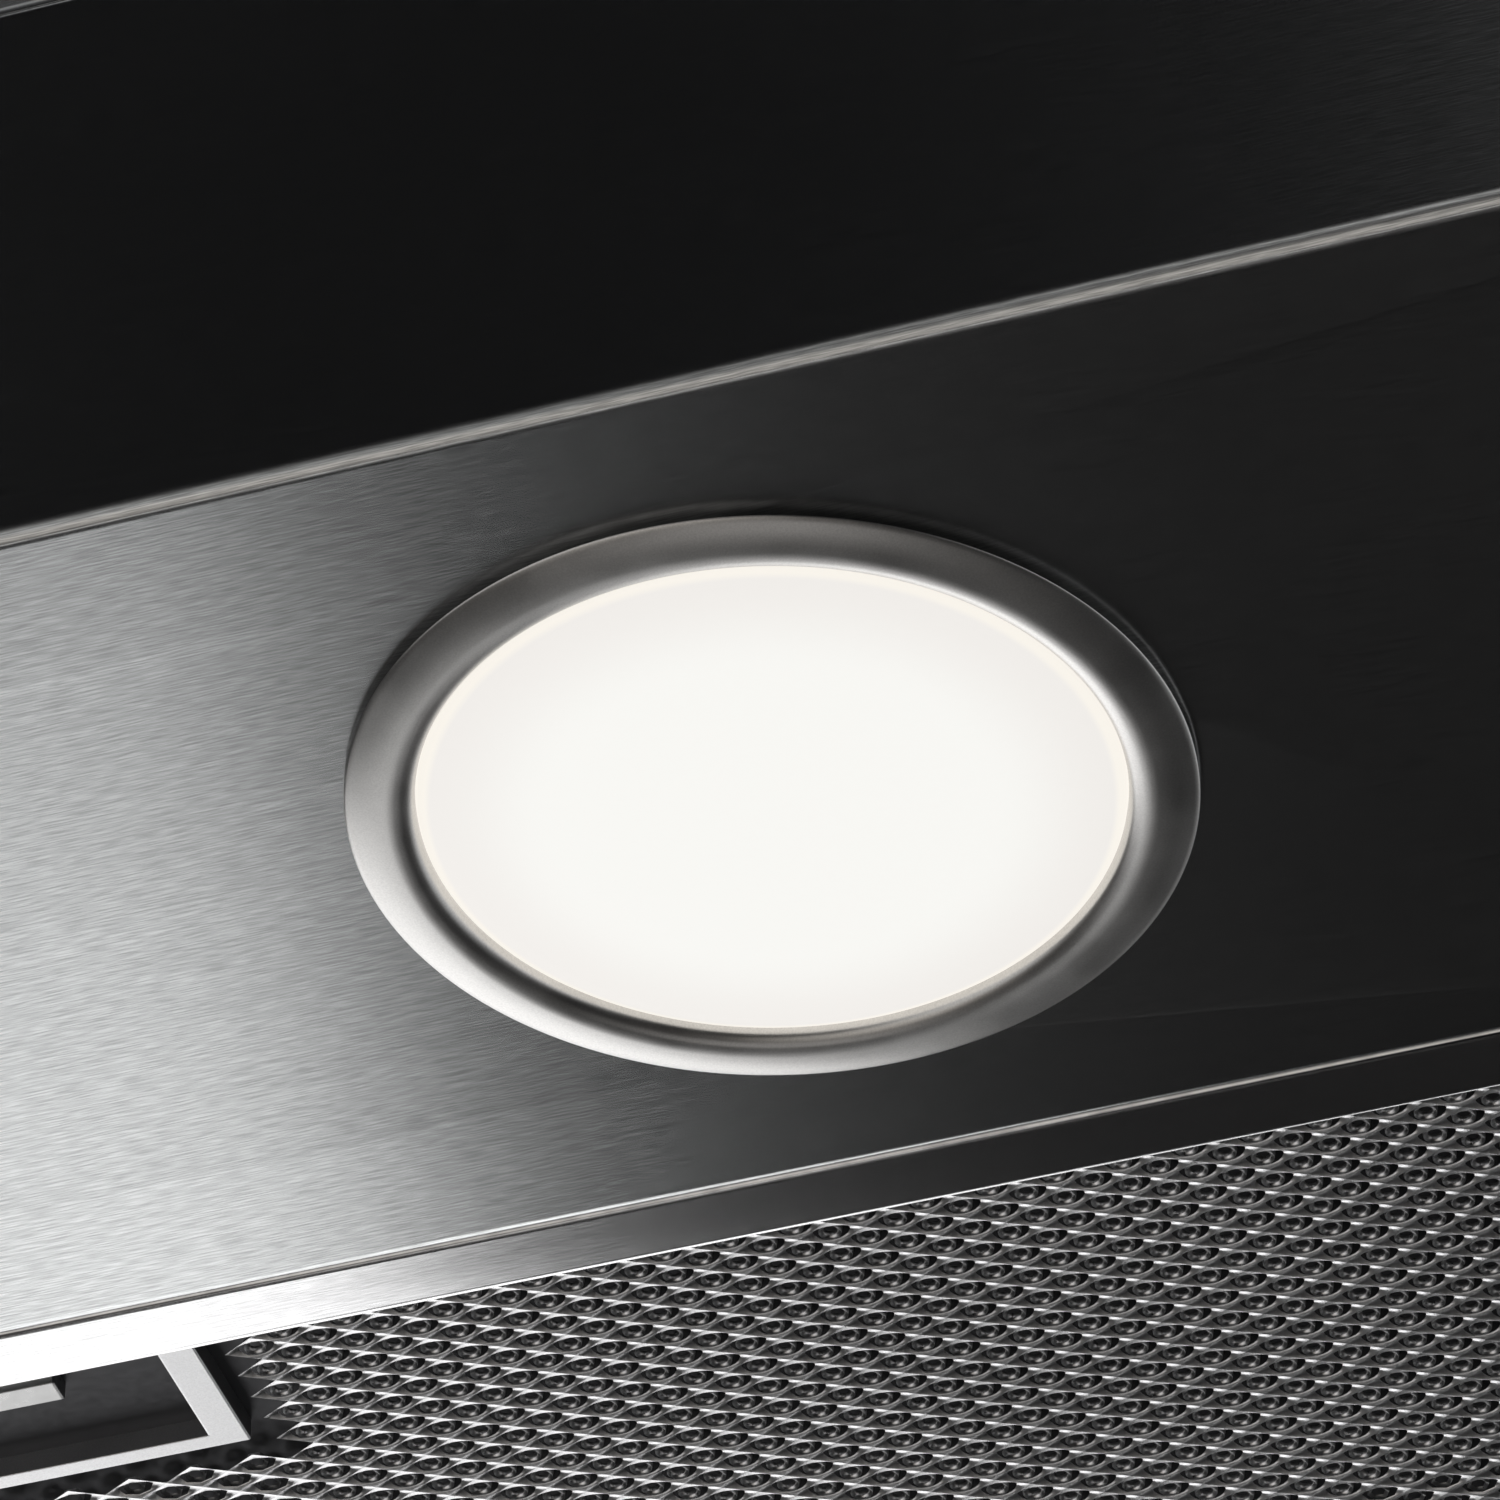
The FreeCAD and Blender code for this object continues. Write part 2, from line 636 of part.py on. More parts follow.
# ---- electrics: junction box, gland, control board, push buttons ----------------------
def electrics():
    outer = centred("box_width", "box_depth", RING_TOP, "box_height", "cable_x")
    inner = centred("box_width - 2 * box_wall", "box_depth - 2 * box_wall", f"{RING_TOP} + box_wall",
                    "box_height", "cable_x")
    keep(cut(outer, inner), "junction_box")
    top = f"{RING_TOP} + box_height"
    lid = centred("box_width", "box_depth", top, "box_wall", "cable_x")
    keep(cut(lid, rod("z", "cable_x", "cable_y", f"{top} - 5", "gland_neck", "12")), "junction_lid")
    keep(turned([("gland_bore", "-3 * box_wall"), ("gland_neck", "-3 * box_wall"),
                 ("gland_neck", "box_wall"),
                 ("gland_nut", "box_wall"), ("gland_nut", "gland_height - 10"),
                 ("gland_cap", "gland_height - 4"), ("gland_cap", "gland_height"),
                 ("gland_bore", "gland_height")], "cable_x", "cable_y", top), "cable_gland")


def push_buttons():
    face = "-1 * canopy_depth / 2"
    height = "button_rise - overall_height"
    for name, factor in BUTTON_PLACES.items():
        x = f"{factor} * button_pitch"
        cap = rod("y", x, f"{face} - button_proud", height, "button_radius", "button_proud + gauge + 3")
        stem = rod("y", x, f"{face} + gauge", height, "stem_radius", "stem_length")
        keep(fuse(cap, stem), f"button_{name}")
    carrier = block("-2.2 * button_pitch", f"{face} + gauge + board_gap", f"{height} - board_height / 2",
                    "4.4 * button_pitch", "board_depth", "board_height")
    keep(carrier, "control_board")


# ---- grease filters: channel frame, expanded mesh, layered core, sprung catch ----------------------
def grease_filters():
    for name, side in SIDES.items():
        x = f"{side} * {FILTER_X}"
        middle = f"( {FILTER_FRONT} + filter_depth / 2 )"
        full = centred("filter_width", "filter_depth", FILTER_BOTTOM, "filter_height", x, middle)
        sheet_wall = "filter_sheet"
        channel = centred(f"filter_width - 2 * {sheet_wall}", f"filter_depth - 2 * {sheet_wall}",
                          f"{FILTER_BOTTOM} + {sheet_wall}", f"filter_height - 2 * {sheet_wall}", x, middle)
        window = centred("filter_width - 2 * filter_lip", "filter_depth - 2 * filter_lip",
                         f"{FILTER_BOTTOM} - 1", "filter_height + 2", x, middle)
        slot = centred("bolt_width + 1", "4", f"{FILTER_BOTTOM} + 2.4", "4.2", x, FILTER_FRONT)
        tongues = []
        for spread in SIGNS:
            tongues.append(centred("tongue_width", "tongue_reach + filter_sheet",
                                   f"{FILTER_BOTTOM} + 0.9", "tongue_height",
                                   f"{x} + {spread} * tongue_spread",
                                   f"{FILTER_FRONT} + filter_depth + ( tongue_reach - filter_sheet ) / 2"))
        keep(fuse(cut(full, channel, window, slot), *tongues), f"filter_frame_{name}")
        catch_y = f"( {FILTER_FRONT} + filter_sheet + 5 + catch_depth / 2 )"
        pocket = centred("catch_width + 1", "catch_depth + 12", f"{FILTER_BOTTOM} - 1", "filter_height + 2",
                         x, f"{catch_y} - 3")
        inside = "( 2 * filter_sheet + 0.4 )"
        mesh = centred(f"filter_width - {inside}", f"filter_depth - {inside}",
                       f"{FILTER_BOTTOM} + filter_sheet", "mesh_height", x, middle)
        keep(cut(mesh, pocket), f"filter_mesh_{name}")
        core = centred(f"filter_width - {inside}", f"filter_depth - {inside}",
                       f"{FILTER_BOTTOM} + filter_sheet + mesh_height + 0.4", "core_height", x, middle)
        keep(cut(core, pocket), f"filter_core_{name}")
        filter_catch(name, x, catch_y)


def filter_catch(name, x, catch_y):
    """A dished finger plate set in the mesh, and the sprung bolt that slides in it."""
    base = f"( {FILTER_BOTTOM} + filter_sheet )"
    height = "( filter_height - 2 * filter_sheet )"
    shell = centred("catch_width", "catch_depth + 8", base, height, x, f"{catch_y} - 1")
    hollow = centred("catch_width - 8", "catch_depth - 2", f"{base} - 1", f"{height} - 1", x,
                     f"{catch_y} + 2")
    slide_way = centred("bolt_width + 0.6", "catch_depth + 8", f"{FILTER_BOTTOM} + 2.6", "3.8", x,
                        f"{catch_y} - 8")
    keep(cut(shell, hollow, slide_way), f"catch_housing_{name}")
    nose = block(f"{x} - bolt_width / 2", f"{FILTER_FRONT} - bolt_nose", f"{FILTER_BOTTOM} + 3",
                 "bolt_width", "bolt_nose + catch_depth - 3", "3")
    grip = block(f"{x} - bolt_width / 2", f"{FILTER_FRONT} + catch_depth - 6", f"{FILTER_BOTTOM} + 1.4",
                 "bolt_width", "3", "4.6")
    keep(fuse(nose, grip), f"catch_bolt_{name}")


# ---- puck lamps: bezel, lens and can, with their boards and spring clips ------------------------------
def puck_lamps():
    boards = []
    clips = []
    for end_name, end in ENDS.items():
        for side_name, side in SIDES.items():
            x = f"{side} * lamp_x"
            y = f"{end} * {LAMP_Y}"
            where = f"{end_name}_{side_name}"
            ring = "lens_radius + 0.2"
            keep(turned([(ring, "-0.2"), ("34.4", "-1.4"), ("35.6", "-2.0"), ("37.4", "-1.8"),
                         ("39.4", "-1.0"), ("bezel_radius", "-0.5"), ("bezel_radius", "0"),
                         ("sleeve_outer", "0"), ("sleeve_outer", "sleeve_height"),
                         ("sleeve_inner", "sleeve_height"), ("sleeve_inner", "0.4"), (ring, "0.4")],
                        x, y, UNDERSIDE), f"lamp_bezel_{where}")
            keep(turned([("0", "-2.3"), ("27", "-2.1"), ("lens_radius - 1.2", "-1.4"),
                         ("lens_radius", "-0.3"), ("lens_radius", "0.6"), ("lens_flange", "0.6"),
                         ("lens_flange", "1.8"), ("0", "1.8")], x, y, UNDERSIDE), f"lamp_lens_{where}")
            keep(turned([("can_bore", "gauge"), ("can_radius", "gauge"), ("can_radius", "can_height"),
                         ("34", "can_height + can_crown"), ("0", "can_height + can_crown"),
                         ("0", "can_height + can_crown / 2"), ("33", "can_height + can_crown / 2"),
                         ("can_bore", "can_height - 1.5")], x, y, UNDERSIDE), f"lamp_can_{where}")
            boards.append(rod("z", x, y, "led_rise - overall_height", "led_radius", "led_sheet"))
            for spread in SIGNS:
                hold = f"{x} + {spread} * clip_offset"
                leaf = centred("clip_sheet", "clip_width", "gauge + clip_foot - overall_height",
                               "clip_height", hold, y)
                foot = centred("clip_width", "clip_width", "gauge - overall_height", "clip_foot",
                               f"{hold} + {spread} * clip_foot_offset", y)
                clips.append(fuse(leaf, foot))
    keep(group(*boards), "led_boards")
    keep(group(*clips), "lamp_clips")


def check_and_write():
    """Raises if any object failed, then writes each sub-part to its own file."""
    doc.recompute()
    failed = [item.Label for item in doc.Objects if "Invalid" in item.State or "Error" in item.State]
    if failed:
        raise RuntimeError("failed objects: " + ", ".join(failed))
    for node, item in finished.items():
        shape = item.Shape
        if shape.isNull() or not shape.isValid() or shape.Volume <= 0:
            raise RuntimeError("bad shape: " + node)
    for node, item in finished.items():
        item.Shape.exportStep(f"parts/{node}.step")
    print(len(finished), "sub-parts written")


canopy_rim()
canopy_top()
chimney_covers()
ceiling_plate()
base_ring()
frame_posts()
frame_screws()
blower_housing()
blower_brackets()
motor_bracket()
blower_motor()
motor_shaft()
fan_wheel()
duct_collar()
damper()
electrics()
push_buttons()
grease_filters()
puck_lamps()
check_and_write()
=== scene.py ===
"""Looks of a stainless island range hood, laid out as an add-on and run as a script."""

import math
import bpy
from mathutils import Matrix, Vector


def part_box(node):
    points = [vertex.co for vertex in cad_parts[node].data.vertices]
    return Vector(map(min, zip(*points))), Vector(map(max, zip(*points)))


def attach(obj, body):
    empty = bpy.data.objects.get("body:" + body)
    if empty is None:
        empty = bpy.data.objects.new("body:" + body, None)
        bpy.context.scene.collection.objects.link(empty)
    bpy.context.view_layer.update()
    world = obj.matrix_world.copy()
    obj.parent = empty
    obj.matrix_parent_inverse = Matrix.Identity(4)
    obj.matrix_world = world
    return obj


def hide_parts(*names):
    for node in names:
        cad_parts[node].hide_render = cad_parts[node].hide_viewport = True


bl_info = {
    "name": "Island Range Hood",
    "version": (1, 0, 0),
    "blender": (4, 5, 0),
    "location": "View3D > Sidebar > Hood",
    "description": "Brushed canopy, puck lamps, mesh grease filters and their studio",
    "category": "Object",
}

import bmesh
import bpy
import numpy as np
from bpy.props import FloatProperty, FloatVectorProperty, IntProperty, PointerProperty
from mathutils import Matrix, Vector

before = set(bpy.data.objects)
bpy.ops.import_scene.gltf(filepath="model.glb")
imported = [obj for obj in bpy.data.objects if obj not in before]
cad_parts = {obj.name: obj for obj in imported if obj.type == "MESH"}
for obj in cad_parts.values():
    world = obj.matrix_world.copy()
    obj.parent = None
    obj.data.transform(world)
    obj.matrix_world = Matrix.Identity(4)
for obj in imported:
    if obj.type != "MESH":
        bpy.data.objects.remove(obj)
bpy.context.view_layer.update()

RIM_LOW, RIM_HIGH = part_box("canopy_rim")
TOP_LOW, TOP_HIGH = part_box("canopy_top")
BEZEL_LOW, BEZEL_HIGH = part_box("lamp_bezel_front_right")
UNDERSIDE = RIM_LOW.z
FASCIA_X = RIM_HIGH.x
FASCIA_Y = RIM_HIGH.y
LAMP_NAMES = ("front_left", "front_right", "rear_left", "rear_right")
SIDES = ("left", "right")
BUTTONS = ("light", "speed_low", "speed_mid", "speed_high")
GRAIN = "grain"

# Strips of the rim's underside between the fascia and the opening for the filters.
SIDE_STRIP = 0.0612
LAMP_STRIP = 0.1112
LAMP_HOLE = 0.037
BUTTON_HOLE = 0.0083
BUTTON_FACE_LOOP = 5
NECK_X = 0.1712
NECK_Y = 0.1412

# Lamp profiles as (radius, depth below the strip).
RING_DOME = ((0.0334, 0.0006), (0.0336, 0.00115), (0.0340, 0.00153), (0.0346, 0.00179),
             (0.0352, 0.0019), (0.0358, 0.00193), (0.0364, 0.00189), (0.0373, 0.00177),
             (0.0383, 0.00156), (0.0392, 0.0013), (0.0397, 0.00112), (0.0400, 0.00092),
             (0.0398, 0.00074), (0.0386, 0.0003))
RING_SLEEVE = ((0.0383, 0.00001), (0.0364, 0.00001), (0.0364, -0.008), (0.0352, -0.008),
               (0.0352, -0.0004), (0.0334, -0.0004))
LENS_FACE = ((0.0, 0.00205), (0.012, 0.002), (0.022, 0.00188), (0.028, 0.0017),
             (0.0305, 0.00152), (0.0315, 0.00135))
LENS_SHOULDER = ((0.0322, 0.00115), (0.0327, 0.0009), (0.0331, 0.0006), (0.0333, 0.0002))
LENS_BACK = ((0.0333, -0.0006), (0.035, -0.0006), (0.035, -0.0018), (0.0, -0.0018))
LENS_GLOW_RADIUS = 0.0331

# Button cap as (radius, distance behind its face), before the stem.
BUTTON_CAP = ((0.0, 0.0007), (0.0035, 0.0006), (0.0058, 0.0001), (0.0066, 0.0), (0.0074, 0.0001),
              (0.0079, 0.0005), (0.008, 0.001), (0.008, 0.0052), (0.003, 0.0053))
BUTTON_STEM = 0.003

# Grease filters: the mesh starts from one opening placed from the front right lamp.
FIRST_OPENING = (0.0323, 0.0677, 0.0)
MESH_MARGIN = 0.0072
MESH_RECESS = 0.0002
CATCH_GAP_X = 0.004
CATCH_GAP_Y = 0.003
FINE_FROM_X = 0.219
FINE_DEPTH = 0.060
FINE_STEPS = 20
SHOULDER_EYE = (0.00290, 0.00118, 0.72)
OPENING_EYE = (0.00195, 0.00114, 0.56)
STRAND_GAUGE = 0.0001
CRATER_SHIFT = (-0.00028, 0.00046, 0.00044)
HINGE_REACH = 0.0075
CHANNEL_WALL = 0.0008
CHANNEL_FOLD = 0.0009
TONGUE_PLACES = (-0.13, 0.13)
TONGUE_SIZE = (0.02, 0.0083, 0.0012)
TONGUE_BEHIND = 0.00335
TONGUE_ABOVE = 0.0015

# Camera, from the front right lamp in radii of its ring, and its turns in degrees.
CAMERA_AWAY = (4.296, -13.496, -12.22)
CAMERA_AZIMUTH = -17.864
CAMERA_ELEVATION = 41.14
CAMERA_ROLL = -0.199

# Softbox: its size, lean in degrees, and lower right corner from the front right lamp.
WINDOW_SIZE = 1.0
WINDOW_LEAN = 17.0
WINDOW_CORNER = (-0.468, 0.95, -0.95)

ROOM_LIGHT = (0.0015, 0.0015, 0.0018)
WHITE = (1.0, 1.0, 1.0)
SOFT_PATCHES = (
    # direction, half-angle where it is full, half-angle where it ends, radiance, tint
    ((-0.22, -0.45, -0.87), 10.0, 28.0, 0.58, (1.0, 0.94, 0.87)),
    ((-0.08, 0.20, -0.98), 4.0, 12.0, 0.80, (1.0, 0.97, 0.94)),
    ((0.0, -1.0, -0.02), 6.0, 17.0, 0.60, (1.0, 0.99, 0.97)),
    ((1.0, 0.05, 0.0), 14.0, 38.0, 0.60, WHITE),
    ((-0.66, -0.66, -0.34), 14.0, 36.0, 0.65, (1.0, 0.99, 0.97)),
    ((0.70, 0.66, -0.26), 10.0, 26.0, 0.60, (0.97, 0.99, 1.0)),
    ((-0.66, -0.55, 0.50), 7.0, 20.0, 0.50, WHITE),
    ((0.0, 0.10, 1.0), 10.0, 30.0, 0.50, WHITE),
    ((0.19, 0.66, 0.72), 10.0, 28.0, 0.45, (0.98, 0.99, 1.0)),
    ((0.70, 0.40, 0.60), 10.0, 28.0, 0.45, WHITE),
    ((-0.66, 0.60, 0.42), 12.0, 32.0, 0.40, WHITE),
    ((0.30, 0.94, 0.15), 12.0, 32.0, 0.35, WHITE),
    ((0.04, -0.66, 0.75), 4.0, 9.0, 0.50, WHITE),
    ((0.66, -0.66, 0.32), 10.0, 26.0, 0.36, WHITE),
)

FLOOR_FLAT = 24.0
FLOOR_SWEEP = 10.0
WALL_HEIGHT = 40.0


def middle(node_name):
    low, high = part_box(node_name)
    return (low + high) / 2


def hung(profile):
    """Lamp profile points, from depths below the strip to heights."""
    return [(radius, UNDERSIDE - depth) for radius, depth in profile]


# ---- properties ----

class HoodSizes(bpy.types.PropertyGroup):
    """Sizes that the sheet metal and the filters are drawn with"""
    bend: FloatProperty(name="Fold radius", description="Outer radius of the folds of the canopy",
                        default=0.0016, unit="LENGTH")
    gauge: FloatProperty(name="Sheet", description="Thickness of the sheet steel", default=0.001,
                         unit="LENGTH")
    pitch: FloatProperty(name="Mesh pitch", description="Distance between openings in a row",
                         default=0.00684, unit="LENGTH")
    row: FloatProperty(name="Mesh row", description="Distance between neighbouring rows of openings",
                       default=0.001885, unit="LENGTH")
    lip: FloatProperty(name="Filter lip", description="Visible width of the filter's frame",
                       default=0.0089, unit="LENGTH")
    turns: IntProperty(name="Round steps", description="Steps round a turned piece", default=192)


class HoodFinishes(bpy.types.PropertyGroup):
    """Colours of the hood's finishes"""
    steel: FloatVectorProperty(name="Stainless", description="Brushed stainless steel",
                               subtype="COLOR", size=3, default=(0.56, 0.57, 0.575))
    satin: FloatVectorProperty(name="Satin ring", description="Satin steel of the lamp rings",
                               subtype="COLOR", size=3, default=(0.67, 0.66, 0.65))
    alloy: FloatVectorProperty(name="Filter alloy", description="Rolled aluminium of the filters",
                               subtype="COLOR", size=3, default=(0.80, 0.80, 0.81))
    light: FloatVectorProperty(name="Lamp light", description="Light of the frosted lenses",
                               subtype="COLOR", size=3, default=(0.885, 0.88, 0.85))
    galvanised: FloatVectorProperty(name="Galvanised", description="Zinc-coated frame steel",
                                    subtype="COLOR", size=3, default=(0.50, 0.52, 0.54))
    moulding: FloatVectorProperty(name="Moulding", description="Black moulded plastic",
                                  subtype="COLOR", size=3, default=(0.035, 0.035, 0.038))


class HoodStudio(bpy.types.PropertyGroup):
    """Studio round the hood"""
    lens: FloatProperty(name="Lens", description="Focal length of the camera", default=192.0,
                        subtype="DISTANCE_CAMERA")
    window: FloatProperty(name="Window light", description="Power of the softbox beyond the hood",
                          default=5.6, unit="POWER")
    floor: FloatProperty(name="Floor drop", description="Floor below the canopy's underside",
                         default=1.65, unit="LENGTH")


# ---- node helpers ----

def start_material(name):
    material = bpy.data.materials.new(name)
    material.use_nodes = True
    tree = material.node_tree
    return material, tree, tree.nodes["Principled BSDF"]


def node(tree, kind, links=(), **settings):
    """A new node with its settings, and (input, source socket or value) pairs."""
    item = tree.nodes.new(kind)
    for key, setting in settings.items():
        setattr(item, key, setting)
    for key, source in links:
        if isinstance(source, bpy.types.NodeSocket):
            tree.links.new(source, item.inputs[key])
        else:
            item.inputs[key].default_value = source
    return item


def blended(tree, first, share, second, second_share):
    """The sum of two values, each times its share."""
    parts = [node(tree, "ShaderNodeMath", [(0, source), (1, part)], operation="MULTIPLY").outputs[0]
             for source, part in ((first, share), (second, second_share))]
    return node(tree, "ShaderNodeMath", [(0, parts[0]), (1, parts[1])], operation="ADD").outputs[0]


def spread(tree, source, low, high, to_low, to_high, smooth=False):
    kind = "SMOOTHSTEP" if smooth else "LINEAR"
    return node(tree, "ShaderNodeMapRange",
                [("Value", source), ("From Min", low), ("From Max", high), ("To Min", to_low),
                 ("To Max", to_high)], interpolation_type=kind).outputs["Result"]


def noise(tree, vector, scale, detail, rough):
    return node(tree, "ShaderNodeTexNoise",
                [("Vector", vector), ("Scale", scale), ("Detail", detail), ("Roughness", rough)]
                ).outputs["Fac"]


def stretched(tree, vector, scale):
    return node(tree, "ShaderNodeMapping", [("Vector", vector), ("Scale", scale)]).outputs["Vector"]


def tinted(tree, factor, dark, light):
    mix = node(tree, "ShaderNodeMix", data_type="RGBA")
    tree.links.new(factor, mix.inputs["Factor"])
    mix.inputs[6].default_value = (*dark, 1.0)
    mix.inputs[7].default_value = (*light, 1.0)
    return mix.outputs[2]


def scaled(colour, factor):
    return tuple(channel * factor for channel in colour)


def object_place(tree):
    return node(tree, "ShaderNodeTexCoord").outputs["Object"]


def roughen(tree, shader, height, strength, distance):
    bumped = node(tree, "ShaderNodeBump", [("Height", height), ("Strength", strength),
                                           ("Distance", distance)])
    tree.links.new(bumped.outputs["Normal"], shader.inputs["Normal"])


# ---- finishes ----

def brushed(name, colour, roughness, anisotropy, contrast, bump):
    """Sheet with a fine ground grain along the first direction of its grain map."""
    material, tree, shader = start_material(name)
    grain = node(tree, "ShaderNodeUVMap", uv_map=GRAIN).outputs["UV"]
    fine = noise(tree, stretched(tree, grain, (300.0, 6000.0, 1.0)), 1.0, 1.0, 0.6)
    long = noise(tree, stretched(tree, grain, (60.0, 3900.0, 1.0)), 1.0, 1.0, 0.5)
    cloud = noise(tree, grain, 9.0, 2.0, 0.5)
    streak = blended(tree, fine, 0.7, long, 0.3)
    shade = blended(tree, streak, 1.0, cloud, 0.05)
    factor = spread(tree, shade, 0.40, 0.66, 0.0, 1.0)
    dark = scaled(colour, 1.0 - contrast)
    light = scaled(colour, 1.0 + contrast)
    tree.links.new(tinted(tree, factor, dark, light), shader.inputs["Base Color"])
    rough = spread(tree, cloud, 0.3, 0.7, roughness * 0.97, roughness * 1.03)
    tree.links.new(rough, shader.inputs["Roughness"])
    roughen(tree, shader, streak, bump, 0.00002)
    tangent = node(tree, "ShaderNodeTangent", direction_type="UV_MAP", uv_map=GRAIN)
    tree.links.new(tangent.outputs["Tangent"], shader.inputs["Tangent"])
    shader.inputs["Metallic"].default_value = 1.0
    shader.inputs["Anisotropic"].default_value = anisotropy
    shader.inputs["Anisotropic Rotation"].default_value = 0.25
    return material


def satin(name, colour, roughness):
    """Bead-blasted metal: even, slightly speckled."""
    material, tree, shader = start_material(name)
    where = object_place(tree)
    speck = noise(tree, where, 5200.0, 2.0, 0.7)
    cloud = noise(tree, where, 160.0, 3.0, 0.5)
    shade = blended(tree, speck, 0.6, cloud, 0.4)
    factor = spread(tree, shade, 0.3, 0.7, 0.0, 1.0)
    tree.links.new(tinted(tree, factor, scaled(colour, 0.84), scaled(colour, 1.14)),
                   shader.inputs["Base Color"])
    tree.links.new(spread(tree, cloud, 0.3, 0.7, roughness * 0.93, roughness * 1.07),
                   shader.inputs["Roughness"])
    roughen(tree, shader, speck, 0.12, 0.00002)
    shader.inputs["Metallic"].default_value = 1.0
    return material


def plain(name, colour, roughness, metallic=0.0, speck_size=900.0, variation=0.12, bump=0.1,
          drawn=(1.0, 1.0, 1.0)):
    """Paint, plastic, plating or castings: fine speckle, drawn out if asked, over larger patches."""
    material, tree, shader = start_material(name)
    where = object_place(tree)
    speck = noise(tree, stretched(tree, where, drawn), speck_size, 3.0, 0.6)
    cloud = noise(tree, where, 22.0, 3.0, 0.5)
    shade = blended(tree, speck, 0.4, cloud, 0.6)
    factor = spread(tree, shade, 0.3, 0.7, 0.0, 1.0)
    tree.links.new(tinted(tree, factor, scaled(colour, 1.0 - variation), scaled(colour, 1.0 + variation)),
                   shader.inputs["Base Color"])
    tree.links.new(spread(tree, speck, 0.3, 0.7, roughness * 0.88, roughness * 1.1),
                   shader.inputs["Roughness"])
    roughen(tree, shader, speck, bump, 0.00005)
    shader.inputs["Metallic"].default_value = metallic
    return material


def galvanised(name, colour):
    """Zinc coating with its spangle of flat crystals."""
    material, tree, shader = start_material(name)
    where = object_place(tree)
    spangle = node(tree, "ShaderNodeTexVoronoi", [("Vector", where), ("Scale", 140.0)])
    fine = noise(tree, where, 1500.0, 2.0, 0.6)
    factor = spread(tree, spangle.outputs["Color"], 0.1, 0.9, 0.0, 1.0)
    tree.links.new(tinted(tree, factor, scaled(colour, 0.78), scaled(colour, 1.15)),
                   shader.inputs["Base Color"])
    tree.links.new(spread(tree, spangle.outputs["Color"], 0.0, 1.0, 0.34, 0.52),
                   shader.inputs["Roughness"])
    roughen(tree, shader, fine, 0.08, 0.00005)
    shader.inputs["Metallic"].default_value = 1.0
    return material


def frosted(name, colour, centre, radius):
    """Lens lit from behind, a little greyer and pinker towards its rim."""
    material, tree, shader = start_material(name)
    where = object_place(tree)
    flat = node(tree, "ShaderNodeVectorMath", [(0, where), (1, (1.0, 1.0, 0.0))], operation="MULTIPLY")
    away = node(tree, "ShaderNodeVectorMath", [(0, flat.outputs[0]), (1, (centre.x, centre.y, 0.0))],
                operation="DISTANCE").outputs["Value"]
    rim = spread(tree, away, radius * 0.62, radius * 0.955, 0.0, 1.0, True)
    wall = spread(tree, away, radius * 0.962, radius * 0.985, 0.0, 1.0, True)
    face = tinted(tree, rim, colour, (0.83, 0.805, 0.775))
    mix = node(tree, "ShaderNodeMix", data_type="RGBA")
    tree.links.new(wall, mix.inputs["Factor"])
    tree.links.new(face, mix.inputs[6])
    mix.inputs[7].default_value = (0.91, 0.87, 0.80, 1.0)
    tree.links.new(mix.outputs[2], shader.inputs["Emission Color"])
    speck = noise(tree, where, 900.0, 2.0, 0.5)
    tree.links.new(spread(tree, speck, 0.3, 0.7, 0.42, 0.5), shader.inputs["Roughness"])
    tree.links.new(tinted(tree, speck, (0.05, 0.049, 0.048), (0.06, 0.059, 0.058)),
                   shader.inputs["Base Color"])
    shader.inputs["Emission Strength"].default_value = 1.0
    shader.inputs["Specular IOR Level"].default_value = 0.12
    return material


# ---- mesh helpers ----

def make_piece(name, material, body, replaced, sharp, build):
    """A piece from a bmesh building function, riding on its body and standing for its node."""
    shape = bmesh.new()
    build(shape)
    mesh = bpy.data.meshes.new(name)
    shape.to_mesh(mesh)
    shape.free()
    return settle(name, mesh, material, body, replaced, sharp)


def settle(name, mesh, material, body, replaced, sharp):
    """Puts a finished mesh in the scene, smooth up to an edge angle, on its body and for its nodes."""
    mesh.materials.append(material)
    mesh.shade_smooth()
    mesh.set_sharp_from_angle(angle=math.radians(sharp))
    piece = bpy.data.objects.new(name, mesh)
    bpy.context.scene.collection.objects.link(piece)
    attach(piece, body)
    for node_name in replaced:
        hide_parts(node_name)
    return piece


def grain_map(shape, rule):
    """Writes each corner's place along and across the grain."""
    layer = shape.loops.layers.uv.new(GRAIN)
    for face in shape.faces:
        for loop in face.loops:
            loop[layer].uv = rule(loop.vert.co, face)


def sign(number):
    return (number > 1e-4) - (number < -1e-4)


def grain_along_folds(co, face):
    """Grain that follows the long way of each side of a canopy; folds keep their own place."""
    normal = face.normal
    own = 0.0 if max(abs(normal.x), abs(normal.y), abs(normal.z)) > 0.9999 else 0.7
    if abs(normal.x) > abs(normal.y) and abs(normal.x) > 0.02:
        return (co.y, sign(normal.x) * co.z - sign(normal.z) * co.x + own)
    return (co.x, sign(normal.y) * co.z - sign(normal.z) * co.y + own)


def grain_upright(co, face):
    """Grain that runs up an upright sheet."""
    normal = face.normal
    own = 0.0 if max(abs(normal.x), abs(normal.y)) > 0.9999 else 0.7
    return (co.z, sign(normal.x) * co.y - sign(normal.y) * co.x + own)


def loop_of(shape, points):
    return [shape.verts.new(point) for point in points]


def bridge(shape, first, second):
    count = len(first)
    for index in range(count):
        after = (index + 1) % count
        shape.faces.new((first[index], first[after], second[after], second[index]))


